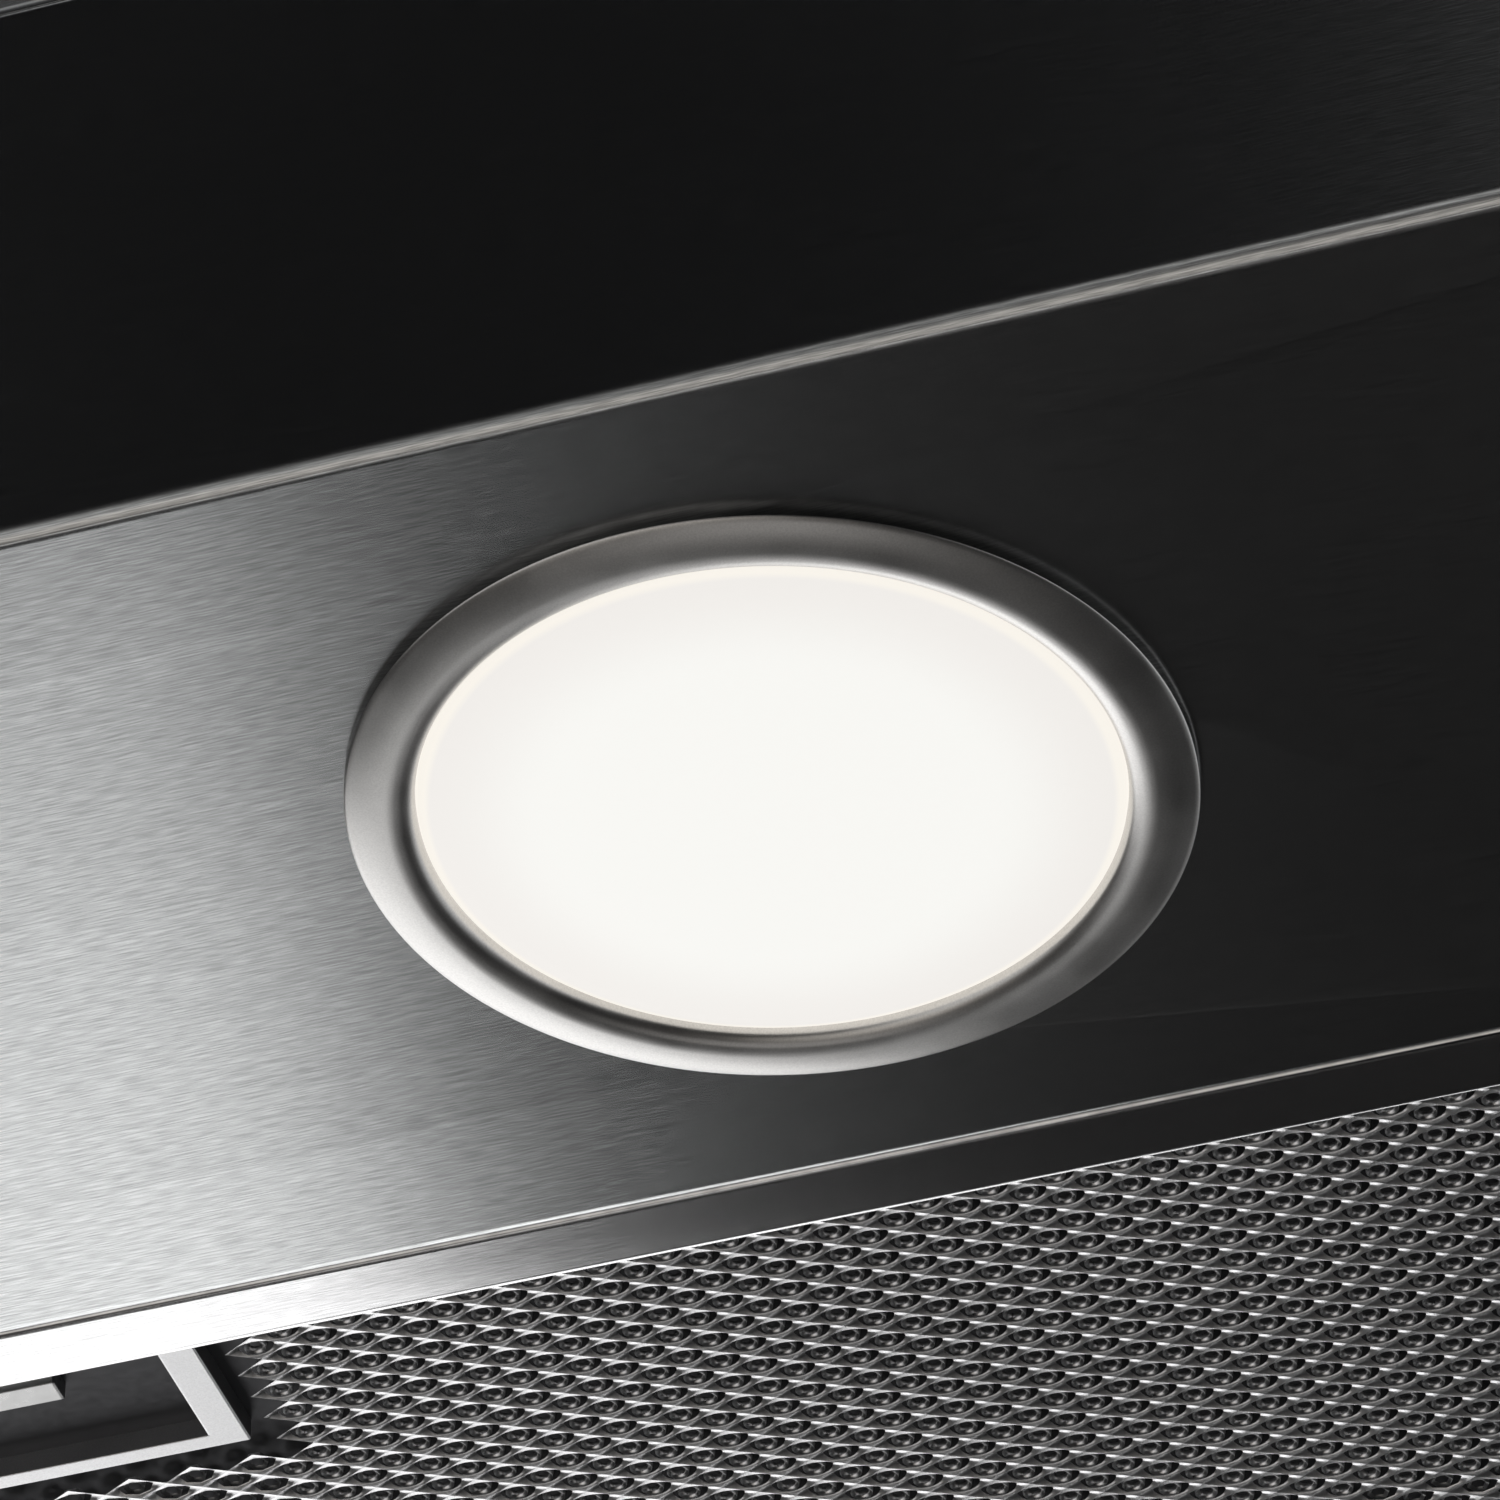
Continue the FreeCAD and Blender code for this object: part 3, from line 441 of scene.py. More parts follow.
def rectangle_loops(shape, loops, skip=()):
    """Joins centred rectangular loops, each (half x, half y, z), leaving out chosen sides."""
    rings = []
    for half_x, half_y, height in loops:
        corners = ((-half_x, -half_y), (half_x, -half_y), (half_x, half_y), (-half_x, half_y))
        rings.append(loop_of(shape, [(x, y, height) for x, y in corners]))
    for index in range(len(rings) - 1):
        first, second = rings[index], rings[index + 1]
        for side in range(4):
            if (index, side) in skip:
                continue
            after = (side + 1) % 4
            shape.faces.new((first[side], first[after], second[after], second[side]))
    return rings


def fold(centre_in, centre_z, radius, start, stop, steps):
    """Points (inset, height) of a fold's arc, from one angle to another in degrees."""
    points = []
    for step in range(steps + 1):
        angle = math.radians(start + (stop - start) * step / steps)
        points.append((centre_in + radius * math.cos(angle), centre_z + radius * math.sin(angle)))
    return points


def circle_points(centre, radius, count, axis, level):
    points = []
    for step in range(count):
        angle = 2 * math.pi * step / count
        u = centre[0] + radius * math.cos(angle)
        v = centre[1] + radius * math.sin(angle)
        points.append((u, v, level) if axis == "z" else (u, level, v))
    return points


def filled(shape, loops):
    """A flat face with holes between closed loops of points or vertices."""
    edges = []
    for points in loops:
        verts = points if isinstance(points[0], bmesh.types.BMVert) else loop_of(shape, points)
        for index, vert in enumerate(verts):
            after = verts[(index + 1) % len(verts)]
            edges.append(shape.edges.get((vert, after)) or shape.edges.new((vert, after)))
    bmesh.ops.triangle_fill(shape, edges=edges, use_beauty=True, use_dissolve=False)


def face_outward(face, direction):
    face.normal_update()
    if face.normal.dot(direction) < 0:
        face.normal_flip()


def turned(shape, profile, centre, count):
    """A surface of revolution about a vertical axis from (radius, height) points."""
    rings = []
    for radius, height in profile:
        if radius < 1e-7:
            rings.append([shape.verts.new((centre.x, centre.y, height))])
        else:
            rings.append(loop_of(shape, circle_points((centre.x, centre.y), radius, count, "z", height)))
    for first, second in zip(rings, rings[1:]):
        if len(first) == 1 or len(second) == 1:
            tip, ring = (first[0], second) if len(first) == 1 else (second[0], first)
            for index in range(count):
                shape.faces.new((tip, ring[index], ring[(index + 1) % count]))
        else:
            bridge(shape, first, second)


def rounded(points, steps=4):
    """A smooth run through profile points, by Catmull-Rom curves."""
    ends = [points[0]] + list(points) + [points[-1]]
    out = []
    for index in range(1, len(ends) - 2):
        a, b, c, d = (Vector(ends[index + offset]) for offset in (-1, 0, 1, 2))
        for step in range(steps):
            t = step / steps
            out.append(0.5 * (2 * b + (c - a) * t + (2 * a - 5 * b + 4 * c - d) * t * t
                              + (3 * b - a - 3 * c + d) * t ** 3))
    out.append(Vector(points[-1]))
    return [(point.x, point.y) for point in out]


def thicken(piece, gauge):
    """Gives a sheet its thickness, inward from its outer face."""
    shell = piece.modifiers.new("sheet", "SOLIDIFY")
    shell.thickness = gauge
    shell.offset = -1.0


def level_faces(piece):
    """Keeps the shading of large flat faces flat beside small folds."""
    weighted = piece.modifiers.new("flat", "WEIGHTED_NORMAL")
    weighted.mode = "FACE_AREA"
    weighted.weight = 100
    weighted.keep_sharp = True


def soften(piece, width, segments=2, angle=40.0):
    """Rounds the hard edges of a carried-over node or a folded piece."""
    weld = piece.modifiers.new("weld", "WELD")
    weld.merge_threshold = 0.000002
    bevel = piece.modifiers.new("edges", "BEVEL")
    bevel.width = width
    bevel.segments = segments
    bevel.limit_method = "ANGLE"
    bevel.angle_limit = math.radians(angle)
    bevel.harden_normals = False


def dress(node_name, material, width):
    """Gives a carried-over node its finish and softened edges."""
    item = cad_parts[node_name]
    item.data.materials.clear()
    item.data.materials.append(material)
    if width:
        soften(item, width)
        level_faces(item)


def finish_of(key, build, *settings):
    """A shared material, made on first use."""
    return bpy.data.materials.get(key) or build(key, *settings)


def stainless(kind="steel"):
    colours = bpy.context.scene.hood_finishes
    if kind == "fascia":
        return finish_of("fascia_steel", brushed, tuple(colours.steel), 0.22, 0.6, 0.24, 0.04)
    return finish_of("brushed_steel", brushed, tuple(colours.steel), 0.226, 0.7, 0.22, 0.01)


# ---- pieces ----

class HOOD_OT_canopy_rim(bpy.types.Operator):
    """Folded rim: fascia, lamp strips with their cut-outs, and the upturned inner flange"""
    bl_idname = "hood.canopy_rim"
    bl_label = "Canopy rim"

    def execute(self, context):
        sizes = context.scene.hood_sizes
        bend = sizes.bend
        open_x = FASCIA_X - SIDE_STRIP
        open_y = FASCIA_Y - LAMP_STRIP
        high = RIM_HIGH.z
        outer = [(0.015, high), (bend * 0.6, high)]
        outer += fold(bend * 0.6, high - bend * 0.6, bend * 0.6, 90, 180, 4)[1:]
        outer += fold(bend, UNDERSIDE + bend, bend, 180, 270, 10)
        inner = fold(-bend, UNDERSIDE + bend, bend, 270, 360, 10)
        inner.append((0.0, UNDERSIDE + 0.022))

        def build(shape):
            outer_loops = [(FASCIA_X - inset, FASCIA_Y - inset, z) for inset, z in outer]
            rings = rectangle_loops(shape, outer_loops, {(BUTTON_FACE_LOOP, 0)})
            upper, lower = rings[BUTTON_FACE_LOOP], rings[BUTTON_FACE_LOOP + 1]
            face = [upper[0], upper[1], lower[1], lower[0]]
            places = [middle(f"button_{name}") for name in BUTTONS]
            holes = [circle_points((place.x, place.z), BUTTON_HOLE, 48, "y", -FASCIA_Y)
                     for place in places]
            filled(shape, [face, *holes])
            inner_loops = [(open_x - inset, open_y - inset, z) for inset, z in inner]
            inner_rings = rectangle_loops(shape, inner_loops)
            cut_outs = [circle_points(middle(f"lamp_lens_{name}"), LAMP_HOLE, 96, "z", UNDERSIDE)
                        for name in LAMP_NAMES]
            filled(shape, [rings[-1], inner_rings[0], *cut_outs])
            shape.normal_update()
            for face in shape.faces:
                centre = face.calc_center_median()
                level = abs(face.normal.z) > 0.5
                inside_flange = abs(centre.x) < open_x + bend and abs(centre.y) < open_y + bend
                if level and centre.z > high - 0.002:
                    outside = Vector((0, 0, 1))
                elif level and centre.z < high - 0.01:
                    outside = Vector((0, 0, -1))
                elif abs(face.normal.x) > 0.6:
                    outside = Vector((centre.x, 0, 0))
                else:
                    outside = Vector((0, centre.y, 0))
                if inside_flange and not level:
                    outside = -outside
                face_outward(face, outside)
            grain_map(shape, grain_along_folds)

        piece = make_piece("canopy_rim_sheet", stainless(), "hood", ["canopy_rim"],
                           30.0, build)
        fascia = stainless("fascia")
        piece.data.materials.append(fascia)
        for polygon in piece.data.polygons:
            outside = max(abs(polygon.center.x) - FASCIA_X, abs(polygon.center.y) - FASCIA_Y) > -0.001
            if abs(polygon.normal.z) < 0.05 and outside:
                polygon.material_index = 1
        thicken(piece, sizes.gauge * 0.95)
        level_faces(piece)
        return {"FINISHED"}


class HOOD_OT_canopy_top(bpy.types.Operator):
    """Sloping canopy top with welded hips"""
    bl_idname = "hood.canopy_top"
    bl_label = "Canopy top"

    def execute(self, context):
        def build(shape):
            loops = [(FASCIA_X - 0.0006, FASCIA_Y - 0.0006, TOP_LOW.z + 0.0002),
                     (FASCIA_X - 0.0006, FASCIA_Y - 0.0006, TOP_LOW.z + 0.0012),
                     (NECK_X, NECK_Y, TOP_HIGH.z - 0.001), (NECK_X, NECK_Y, TOP_HIGH.z - 0.0001)]
            rectangle_loops(shape, loops)
            bmesh.ops.recalc_face_normals(shape, faces=shape.faces)
            grain_map(shape, grain_along_folds)

        piece = make_piece("canopy_top_sheet", stainless(), "hood", ["canopy_top"],
                           30.0, build)
        soften(piece, 0.0014, 4, 20.0)
        thicken(piece, context.scene.hood_sizes.gauge)
        level_faces(piece)
        return {"FINISHED"}


class HOOD_OT_chimney(bpy.types.Operator):
    """Two telescoping chimney covers, each a pair of U-shaped sheets"""
    bl_idname = "hood.chimney"
    bl_label = "Chimney covers"

    def execute(self, context):
        gauge = context.scene.hood_sizes.gauge
        steel = stainless()
        for level, body in (("lower", "hood"), ("upper", "upper_cover")):
            for end, way in (("front", -1), ("rear", 1)):
                self.half(f"{level}_cover_{end}", way, gauge, steel, body)
        return {"FINISHED"}

    def half(self, node_name, way, gauge, steel, body):
        """A U-shaped sheet with small corner radii, open towards its other half."""
        low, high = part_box(node_name)
        radius = 0.0022
        reach = max(abs(low.y), abs(high.y))
        wide = high.x
        plan = [(wide, 0.0002)]
        for step in range(7):
            angle = math.radians(90 * step / 6)
            plan.append((wide - radius + radius * math.cos(angle),
                         reach - radius + radius * math.sin(angle)))
        plan += [(-x, y) for x, y in reversed(plan)]
        plan = [(x, y * way) for x, y in plan]
        levels = [low.z + 0.0001, low.z + 0.0006, high.z - 0.0006, high.z - 0.0001]

        def build(shape):
            rows = [[shape.verts.new((x, y, z)) for x, y in plan] for z in levels]
            for under, over in zip(rows, rows[1:]):
                for index in range(len(plan) - 1):
                    face = shape.faces.new((under[index], under[index + 1], over[index + 1], over[index]))
                    centre = face.calc_center_median()
                    face_outward(face, Vector((centre.x, centre.y, 0)))
            grain_map(shape, grain_upright)

        piece = make_piece(f"{node_name}_sheet", steel, body, [node_name], 30.0, build)
        thicken(piece, gauge)
        level_faces(piece)


class HOOD_OT_buttons(bpy.types.Operator):
    """Four dished push buttons on short stems"""
    bl_idname = "hood.buttons"
    bl_label = "Push buttons"

    def execute(self, context):
        metal = finish_of("button_metal", satin, (0.52, 0.52, 0.53), 0.3)
        for name in BUTTONS:
            low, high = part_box(f"button_{name}")
            centre = (low + high) / 2
            depth = high.y - low.y
            profile = [*BUTTON_CAP, (BUTTON_STEM, depth - 0.0001), (0.0, depth)]

            def build(shape, centre=centre, low=low, profile=profile):
                turned(shape, profile, Vector((0, 0)), 64)
                turn = Matrix.Rotation(math.radians(-90), 4, "X")
                bmesh.ops.transform(shape, matrix=turn, verts=shape.verts)
                bmesh.ops.translate(shape, vec=(centre.x, low.y, centre.z), verts=shape.verts)
                bmesh.ops.recalc_face_normals(shape, faces=shape.faces)

            make_piece(f"button_{name}_cap", metal, f"{name}_button", [f"button_{name}"],
                       35.0, build)
        return {"FINISHED"}


class HOOD_OT_lamps(bpy.types.Operator):
    """Puck lamps: a domed satin ring round a frosted, lit lens"""
    bl_idname = "hood.lamps"
    bl_label = "Puck lamps"

    def execute(self, context):
        finishes = context.scene.hood_finishes
        count = context.scene.hood_sizes.turns
        ring = finish_of("satin_ring", satin, tuple(finishes.satin), 0.36)
        ring_profile = rounded(hung(RING_DOME)) + hung(RING_SLEEVE)
        lens_profile = hung(LENS_FACE) + rounded(hung(LENS_SHOULDER), 3) + hung(LENS_BACK)
        for name in LAMP_NAMES:
            centre = middle(f"lamp_lens_{name}")

            def ring_shape(shape, centre=centre):
                turned(shape, ring_profile + ring_profile[:1], centre, count)
                bmesh.ops.remove_doubles(shape, verts=shape.verts, dist=1e-7)
                bmesh.ops.recalc_face_normals(shape, faces=shape.faces)

            def lens_shape(shape, centre=centre):
                turned(shape, lens_profile, centre, count)
                bmesh.ops.recalc_face_normals(shape, faces=shape.faces)

            make_piece(f"lamp_ring_{name}", ring, "hood", [f"lamp_bezel_{name}"], 50.0,
                       ring_shape)
            glow = frosted(f"frosted_lens_{name}", tuple(finishes.light), centre, LENS_GLOW_RADIUS)
            make_piece(f"lamp_glass_{name}", glow, "hood", [f"lamp_lens_{name}"], 50.0,
                       lens_shape)
            dress(f"lamp_can_{name}", finish_of("cast_alloy", plain, (0.45, 0.45, 0.46), 0.45, 1.0), 0.0004)
        dress("led_boards", finish_of("white_board", plain, (0.7, 0.72, 0.7), 0.4), 0.0)
        dress("lamp_clips", finish_of("spring_steel", plain, (0.5, 0.5, 0.5), 0.3, 1.0), 0.0)
        return {"FINISHED"}


def lens_shaped(steps, half_width, half_height, power):
    """Points round an eye-shaped opening, from its right tip; the power sets how pointed it is."""
    points = []
    for step in range(steps):
        angle = 2 * math.pi * step / steps
        u = math.cos(angle)
        v = math.copysign((1 - u * u) ** power, math.sin(angle)) if abs(math.sin(angle)) > 1e-6 else 0.0
        points.append((half_width * u, half_height * v))
    return points


def rhombus(steps, half_width, half_height):
    """Points round a rhombus at the same angles as the eye it encloses."""
    points = []
    for step in range(steps):
        quarter = 4 * step / steps
        side = int(quarter) % 4
        t = quarter - int(quarter)
        corners = ((half_width, 0), (0, half_height), (-half_width, 0), (0, -half_height))
        a, b = corners[side], corners[(side + 1) % 4]
        points.append((a[0] + (b[0] - a[0]) * t, a[1] + (b[1] - a[1]) * t))
    return points


def repeated(name, centres, rings):
    """One mesh of many like cells, each made of concentric rings of (x, y, z) points."""
    steps = len(rings[0])
    cell = np.array([point for ring in rings for point in ring], float)
    cells = np.array(centres, float)[:, None, :] + cell[None, :, :]
    per_cell = len(cell)
    quads = []
    for ring in range(len(rings) - 1):
        for step in range(steps):
            after = (step + 1) % steps
            quads.append((ring * steps + step, ring * steps + after,
                          (ring + 1) * steps + after, (ring + 1) * steps + step))
    quads = np.array(quads)
    faces = (np.arange(len(centres)) * per_cell)[:, None, None] + quads[None, :, :]
    mesh = bpy.data.meshes.new(name)
    mesh.from_pydata(cells.reshape(-1, 3).tolist(), [], faces.reshape(-1, 4).tolist())
    mesh.update()
    return mesh


class HOOD_OT_filters(bpy.types.Operator):
    """Grease filters: folded frame, expanded mesh and the eyelet sheet behind it"""
    bl_idname = "hood.filters"
    bl_label = "Grease filters"

    def execute(self, context):
        sizes = context.scene.hood_sizes
        alloy = tuple(context.scene.hood_finishes.alloy)
        self.frame_finish = finish_of("filter_frame_alloy", brushed, alloy, 0.20, 0.8, 0.16, 0.02)
        self.mesh_finish = finish_of("filter_mesh_alloy", plain, alloy, 0.33, 1.0, 900.0, 0.14, 0.35,
                                     (9.0, 1.6, 1.0))
        self.eyelet_finish = finish_of("eyelet_alloy", plain, alloy, 0.30, 1.0, 2600.0, 0.08, 0.1)
        # the aluminium layers behind the eyelets get a near-black colour: painted shade
        self.painted_shade_finish = finish_of("inner_layers", plain, (0.09, 0.09, 0.095), 0.5, 1.0)
        catch_alloy = finish_of("catch_alloy", satin, (0.66, 0.66, 0.67), 0.3)
        spring_steel = finish_of("spring_steel", plain, (0.5, 0.5, 0.5), 0.3, 1.0)
        for side in SIDES:
            self.frame_piece(side, sizes)
            self.mesh_pieces(side, sizes)
            dress(f"catch_housing_{side}", catch_alloy, 0.0004)
            dress(f"catch_bolt_{side}", spring_steel, 0.0003)
        return {"FINISHED"}

    def frame_piece(self, side, sizes):
        """Folded channel round the mesh, and the two tongues that it hangs on."""
        low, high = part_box(f"filter_frame_{side}")
        rear = high.y - HINGE_REACH
        centre = Vector(((low.x + high.x) / 2, (low.y + rear) / 2, 0))
        half_x = (high.x - low.x) / 2
        half_y = (rear - low.y) / 2
        lip, wall, bend, base = sizes.lip, CHANNEL_WALL, CHANNEL_FOLD, low.z
        section = [(lip, base + 0.0007), (lip - 0.00025, base + 0.00035), (lip - 0.0007, base + 0.00012),
                   (lip - 0.0013, base)]
        for angle in range(0, 91, 15):
            turn = math.radians(angle)
            section.append((bend - bend * math.sin(turn), base + bend - bend * math.cos(turn)))
        section += [(0.0, high.z - 0.0009), (0.0003, high.z - 0.0003), (0.0009, high.z), (lip, high.z),
                    (lip, high.z - wall), (wall, high.z - wall), (wall, base + wall + 0.0001),
                    (lip - 0.001, base + wall + 0.0001), (lip - 0.0001, base + 0.00125)]

        def build(shape):
            loops = [(half_x - inset, half_y - inset, z) for inset, z in section]
            rings = rectangle_loops(shape, loops)
            for index in range(4):
                after = (index + 1) % 4
                shape.faces.new((rings[-1][index], rings[-1][after], rings[0][after], rings[0][index]))
            for offset in TONGUE_PLACES:
                tongue = Vector((offset, half_y + TONGUE_BEHIND, base + TONGUE_ABOVE))
                made = bmesh.ops.create_cube(shape, size=1.0)["verts"]
                bmesh.ops.scale(shape, vec=TONGUE_SIZE, verts=made)
                bmesh.ops.translate(shape, vec=tongue, verts=made)
            bmesh.ops.recalc_face_normals(shape, faces=shape.faces)
            bmesh.ops.translate(shape, vec=(centre.x, centre.y, 0), verts=shape.verts)
            grain_map(shape, self.frame_grain(centre, half_x, half_y))

        channel = make_piece(f"filter_channel_{side}", self.frame_finish, f"filter_{side}",
                             [f"filter_frame_{side}"], 40.0, build)
        level_faces(channel)

    def frame_grain(self, centre, half_x, half_y):
        """Grain along each of the channel's four lengths."""
        def rule(co, face):
            middle_of_face = face.calc_center_median() - centre
            near_end = half_x - abs(middle_of_face.x) < half_y - abs(middle_of_face.y)
            return (co.y, co.x + co.z) if near_end else (co.x, co.y + co.z)
        return rule

    def mesh_pieces(self, side, sizes):
        """Openings in staggered rows round the catch, in finer steps near the front right lamp."""
        low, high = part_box(f"filter_mesh_{side}")
        catch_low, catch_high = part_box(f"catch_housing_{side}")
        pitch, row = sizes.pitch, sizes.row
        origin = middle("lamp_lens_front_right") + Vector(FIRST_OPENING)
        level = low.z + MESH_RECESS
        fine, field = [], []
        last_row = int((high.y - low.y) / row) + 4
        columns = range(int((low.x - origin.x) / pitch) - 1, int((high.x - origin.x) / pitch) + 2)
        for j in range(-last_row, last_row):
            y = origin.y + j * row
            if not low.y + MESH_MARGIN < y < high.y - MESH_MARGIN:
                continue
            shift = (j % 2) * pitch / 2
            for i in columns:
                x = origin.x + shift + i * pitch
                if not low.x + MESH_MARGIN < x < high.x - MESH_MARGIN:
                    continue
                beside_catch = catch_low.x - CATCH_GAP_X < x < catch_high.x + CATCH_GAP_X
                if beside_catch and y < catch_high.y + CATCH_GAP_Y:
                    continue
                near = x > FINE_FROM_X and y < origin.y + FINE_DEPTH and side == "right"
                (fine if near else field).append((x, y, level))
        if fine:
            self.strand_piece(f"filter_strands_near_{side}", fine, side, sizes, FINE_STEPS, True)
            self.eyelet_piece(f"filter_eyelets_near_{side}", fine, side, FINE_STEPS)
        half = abs(low.x + high.x) / 2
        for label, part in (("inner", [place for place in field if abs(place[0]) < half]),
                            ("outer", [place for place in field if abs(place[0]) >= half])):
            self.strand_piece(f"filter_strands_{label}_{side}", part, side, sizes, 8, label == "outer")
            self.eyelet_piece(f"filter_eyelets_{label}_{side}", part, side, 6)
        self.layers(side)

    def strand_piece(self, name, centres, side, sizes, steps, shouldered):
        """Expanded mesh: flat strands round eye-shaped openings that dip at both ends."""
        edge = rhombus(steps, sizes.pitch / 2, sizes.row)
        shoulder = lens_shaped(steps, *SHOULDER_EYE)
        opening = lens_shaped(steps, *OPENING_EYE)
        dip = [0.00008 + 0.00030 * math.cos(2 * math.pi * step / steps) ** 4 for step in range(steps)]
        rings = [[(x, y, 0.0) for x, y in edge]]
        if shouldered:
            rings.append([(x, y, 0.00003) for x, y in shoulder])
        if steps == FINE_STEPS:
            rings.append([(0.5 * (a[0] + b[0]), 0.5 * (a[1] + b[1]), 0.00001 + 0.45 * z)
                          for a, b, z in zip(shoulder, opening, dip)])
        rings.append([(x, y, z) for (x, y), z in zip(opening, dip)])
        if steps == FINE_STEPS:
            rings.append([(x, y, z + STRAND_GAUGE) for (x, y), z in zip(opening, dip)])
        mesh = repeated(name, centres, rings)
        settle(name, mesh, self.mesh_finish, f"filter_{side}", [f"filter_mesh_{side}"], 50.0)

    def eyelet_piece(self, name, centres, side, steps):
        """Small punched craters behind the openings of the mesh."""
        profile = [(0.00126, 0.0007), (0.00118, 0.00008), (0.00076, 0.00035)]
        if steps == FINE_STEPS:
            profile[2:2] = [(0.00112, 0.0), (0.00082, 0.00026)]
            profile.append((0.00072, 0.0008))
        across, along, above = CRATER_SHIFT
        rings = [circle_points((across, along), radius, steps, "z", above + drop)
                 for radius, drop in profile]
        mesh = repeated(name, centres, rings)
        settle(name, mesh, self.eyelet_finish, f"filter_{side}",
               [f"filter_mesh_{side}", f"filter_core_{side}"], 50.0)

    def layers(self, side):
        """The stack of mesh layers behind the eyelets, coloured near black as painted shade."""
        low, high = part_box(f"filter_core_{side}")

        def build(shape):
            made = bmesh.ops.create_cube(shape, size=1.0)["verts"]
            bmesh.ops.scale(shape, vec=(high.x - low.x - 0.001, high.y - low.y - 0.001,
                                        high.z - low.z - 0.0006), verts=made)
            centre = (low + high) / 2 + Vector((0, 0, 0.0003))
            bmesh.ops.translate(shape, vec=centre, verts=made)
            bmesh.ops.bevel(shape, geom=shape.edges[:], offset=0.0004, segments=2, affect="EDGES")

        make_piece(f"filter_layers_{side}", self.painted_shade_finish, f"filter_{side}",
                   [f"filter_core_{side}"], 40.0, build)


class HOOD_OT_hanging_frame(bpy.types.Operator):
    """Galvanised ceiling plate, posts, ring and brackets, with their screws"""
    bl_idname = "hood.hanging_frame"
    bl_label = "Hanging frame"

    def execute(self, context):
        zinc = finish_of("galvanised_sheet", galvanised, tuple(context.scene.hood_finishes.galvanised))
        names = ["ceiling_plate", "base_ring", "motor_bracket"]
        for end in ("front", "rear"):
            names.append(f"blower_bracket_{end}")
            names += [f"{level}_post_{end}_{side}" for level in ("upper", "lower") for side in SIDES]
        for name in names:
            dress(name, zinc, 0.0003)
        dress("frame_screws", finish_of("zinc_plate", plain, (0.62, 0.60, 0.52), 0.28, 1.0), 0.0003)
        return {"FINISHED"}


class HOOD_OT_blower(bpy.types.Operator):
    """Blower housing, wheel, motor, spigot and damper"""
    bl_idname = "hood.blower"
    bl_label = "Blower"

    def execute(self, context):
        black = finish_of("black_moulding", plain, tuple(context.scene.hood_finishes.moulding), 0.42,
                          0.0, 1400.0, 0.2, 0.25)
        for name in ("blower_housing", "duct_collar", "damper_flap_front", "damper_flap_rear"):
            dress(name, black, 0.0004)
        dress("fan_wheel", black, 0.0)
        dress("blower_motor", finish_of("motor_enamel", plain, (0.06, 0.06, 0.065), 0.3, 0.0, 700.0), 0.0005)
        for name in ("motor_shaft", "damper_pin"):
            dress(name, finish_of("bright_steel", plain, (0.6, 0.6, 0.6), 0.2, 1.0), 0.0003)
        return {"FINISHED"}


class HOOD_OT_electrics(bpy.types.Operator):
    """Junction box, gland and control board"""
    bl_idname = "hood.electrics"
    bl_label = "Electrics"

    def execute(self, context):
        grey = finish_of("grey_moulding", plain, (0.52, 0.52, 0.50), 0.4, 0.0, 1100.0, 0.06, 0.2)
        for name in ("junction_box", "junction_lid"):
            dress(name, grey, 0.0006)
        dress("cable_gland", finish_of("black_gland", plain, (0.03, 0.03, 0.03), 0.35), 0.0005)
        dress("control_board", finish_of("green_board", plain, (0.03, 0.16, 0.07), 0.3), 0.0003)
        return {"FINISHED"}


# ---- stage ----

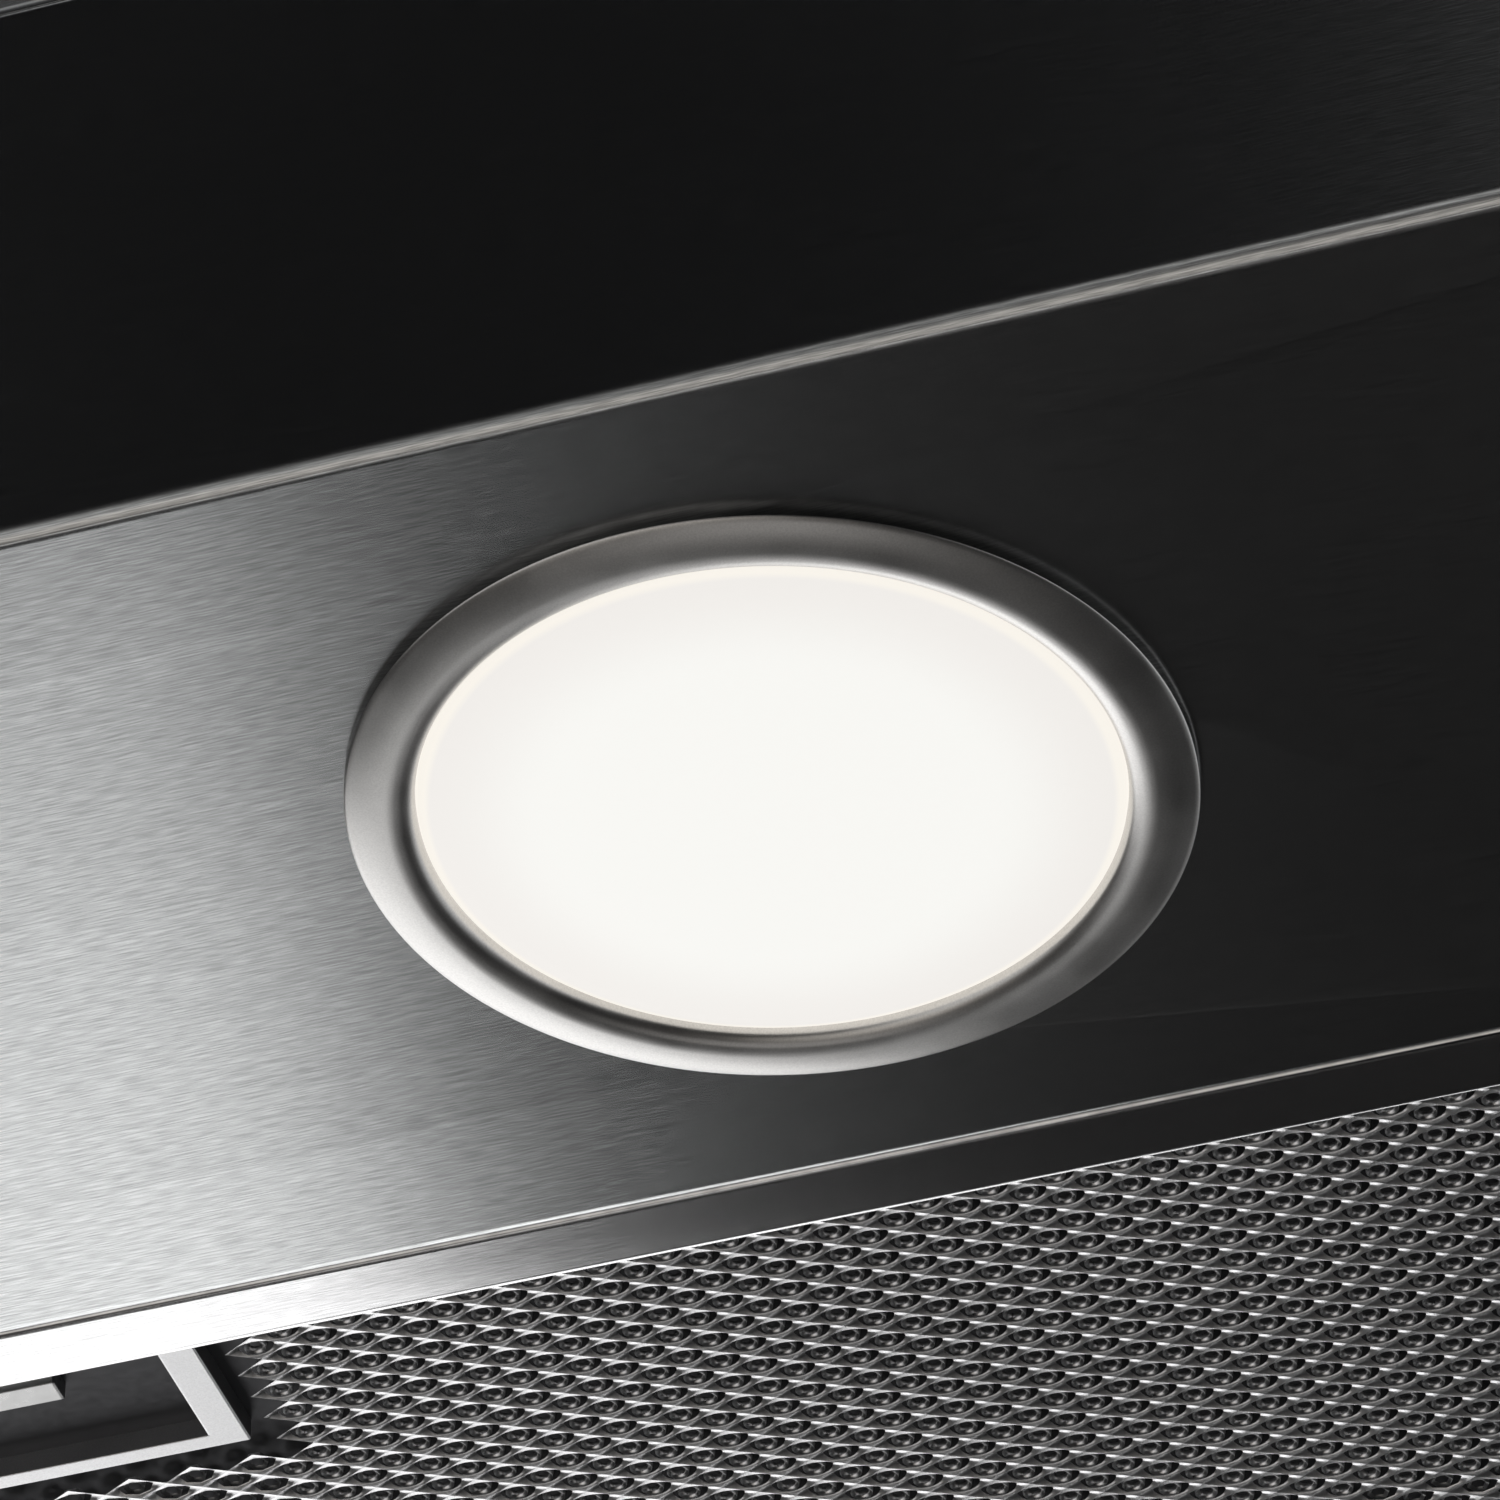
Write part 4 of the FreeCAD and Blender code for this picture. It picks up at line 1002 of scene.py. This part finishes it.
class HOOD_OT_stage(bpy.types.Operator):
    """Camera, soft studio light, pale floor and backdrop"""
    bl_idname = "hood.stage"
    bl_label = "Studio"

    def execute(self, context):
        studio = context.scene.hood_studio
        lamp = middle("lamp_lens_front_right")
        lamp.z = UNDERSIDE
        self.camera(context, lamp, studio.lens)
        self.surroundings(context.scene)
        self.window(lamp, studio.window)
        self.fill_lights()
        self.floor(UNDERSIDE - studio.floor)
        context.scene.view_settings.view_transform = "Standard"
        return {"FINISHED"}

    def camera(self, context, lamp, lens):
        """Looks up at the front right lamp from the front, a little from the right."""
        data = bpy.data.cameras.new("camera")
        data.lens = lens
        data.sensor_width = 36.0
        data.clip_end = 400.0
        item = bpy.data.objects.new("camera", data)
        context.scene.collection.objects.link(item)
        azimuth, elevation = math.radians(CAMERA_AZIMUTH), math.radians(CAMERA_ELEVATION)
        roll = math.radians(CAMERA_ROLL)
        forward = Vector((math.sin(azimuth) * math.cos(elevation), math.cos(azimuth) * math.cos(elevation),
                          math.sin(elevation)))
        right = forward.cross(Vector((0, 0, 1))).normalized()
        up = right.cross(forward)
        tilted_right = right * math.cos(roll) + up * math.sin(roll)
        tilted_up = up * math.cos(roll) - right * math.sin(roll)
        turn = Matrix((tilted_right, tilted_up, -forward)).transposed().to_4x4()
        radius = (BEZEL_HIGH.x - BEZEL_LOW.x) / 2
        turn.translation = lamp + Vector(CAMERA_AWAY) * radius
        item.matrix_world = turn
        context.scene.camera = item

    def surroundings(self, scene):
        """A dark room with large dim soft patches of light round it."""
        world = bpy.data.worlds.new("studio")
        world.use_nodes = True
        tree = world.node_tree
        background = tree.nodes["Background"]
        toward = node(tree, "ShaderNodeTexCoord").outputs["Generated"]
        total = ROOM_LIGHT
        for direction, full, end, radiance, tint in SOFT_PATCHES:
            aim = Vector(direction).normalized()
            facing = node(tree, "ShaderNodeVectorMath", [(0, toward), (1, tuple(aim))],
                          operation="DOT_PRODUCT").outputs["Value"]
            level = spread(tree, facing, math.cos(math.radians(end)), math.cos(math.radians(full)),
                           0.0, radiance, True)
            patch = node(tree, "ShaderNodeVectorMath", [(0, tint)], operation="SCALE")
            tree.links.new(level, patch.inputs["Scale"])
            total = node(tree, "ShaderNodeVectorMath", [(0, total), (1, patch.outputs[0])],
                         operation="ADD").outputs[0]
        tree.links.new(total, background.inputs["Color"])
        scene.world = world

    def area_light(self, name, place, target, size, power, tint, glossy):
        data = bpy.data.lights.new(name, "AREA")
        data.shape = "SQUARE"
        data.size = size
        data.energy = power
        data.color = tint
        item = bpy.data.objects.new(name, data)
        bpy.context.scene.collection.objects.link(item)
        item.location = place
        item.rotation_euler = (Vector(target) - Vector(place)).to_track_quat("-Z", "Y").to_euler()
        item.visible_camera = False
        item.visible_glossy = glossy
        return item

    def window(self, lamp, power):
        """A leaning softbox beyond the hood, whose right edge fades across the strip by the lamp."""
        lean = math.radians(WINDOW_LEAN)
        across = Vector((math.cos(lean), 0, -math.sin(lean)))
        along = Vector((math.sin(lean), 0, math.cos(lean)))
        place = lamp + Vector(WINDOW_CORNER) + (along - across) * WINDOW_SIZE / 2
        item = self.area_light("window", place, place - Vector((0, 1, 0)), WINDOW_SIZE, power,
                               (1.0, 0.998, 0.992), True)
        item.rotation_euler.rotate_axis("Z", lean)

    def fill_lights(self):
        """Overhead light for the floor and the matt pieces, left out of reflections."""
        self.area_light("overhead", (0.5, -1.0, 4.0), (0, 0, -1), 5.0, 420.0, (1.0, 0.99, 0.97), False)
        self.area_light("front_fill", (-3.0, -5.0, 0.5), (0, 0, -0.6), 3.0, 90.0, WHITE, False)

    def floor(self, level):
        """A round floor that sweeps up into a far wall."""
        material, tree, shader = start_material("pale_floor")
        where = object_place(tree)
        cloud = noise(tree, where, 0.8, 3.0, 0.5)
        tree.links.new(tinted(tree, cloud, (0.004, 0.004, 0.004), (0.006, 0.006, 0.006)),
                       shader.inputs["Base Color"])
        shader.inputs["Roughness"].default_value = 0.9
        shader.inputs["Emission Color"].default_value = (1.0, 1.0, 0.99, 1.0)
        shader.inputs["Emission Strength"].default_value = 0.78
        shape = bmesh.new()
        sweep = [(0.0, level), (6.0, level), (FLOOR_FLAT, level)]
        for angle in range(10, 91, 10):
            turn = math.radians(angle)
            sweep.append((FLOOR_FLAT + FLOOR_SWEEP * math.sin(turn),
                          level + FLOOR_SWEEP * (1 - math.cos(turn))))
        sweep.append((FLOOR_FLAT + FLOOR_SWEEP, level + WALL_HEIGHT))
        turned(shape, sweep, Vector((0, 0)), 128)
        mesh = bpy.data.meshes.new("floor")
        shape.to_mesh(mesh)
        shape.free()
        mesh.materials.append(material)
        mesh.shade_smooth()
        item = bpy.data.objects.new("floor", mesh)
        bpy.context.scene.collection.objects.link(item)
        item.visible_glossy = False
        item.visible_shadow = False


class HOOD_PT_panel(bpy.types.Panel):
    """Sidebar panel with the hood's pieces and values"""
    bl_label = "Island Range Hood"
    bl_idname = "HOOD_PT_panel"
    bl_space_type = "VIEW_3D"
    bl_region_type = "UI"
    bl_category = "Hood"

    def draw(self, context):
        layout = self.layout
        for operator in STEPS:
            layout.operator(operator.bl_idname)
        for group in (context.scene.hood_sizes, context.scene.hood_finishes, context.scene.hood_studio):
            for name in group.bl_rna.properties.keys():
                if name not in ("rna_type", "name"):
                    layout.prop(group, name)


STEPS = (HOOD_OT_stage, HOOD_OT_canopy_rim, HOOD_OT_canopy_top, HOOD_OT_chimney, HOOD_OT_buttons,
         HOOD_OT_lamps, HOOD_OT_filters, HOOD_OT_hanging_frame, HOOD_OT_blower, HOOD_OT_electrics)
CLASSES = (HoodSizes, HoodFinishes, HoodStudio, *STEPS, HOOD_PT_panel)


def register():
    for item in CLASSES:
        bpy.utils.register_class(item)
    bpy.types.Scene.hood_sizes = PointerProperty(type=HoodSizes)
    bpy.types.Scene.hood_finishes = PointerProperty(type=HoodFinishes)
    bpy.types.Scene.hood_studio = PointerProperty(type=HoodStudio)


def unregister():
    del bpy.types.Scene.hood_studio
    del bpy.types.Scene.hood_finishes
    del bpy.types.Scene.hood_sizes
    for item in reversed(CLASSES):
        bpy.utils.unregister_class(item)


def main():
    register()
    for operator in STEPS:
        group, name = operator.bl_idname.split(".")
        getattr(getattr(bpy.ops, group), name)()


if __name__ == "__main__":
    main()
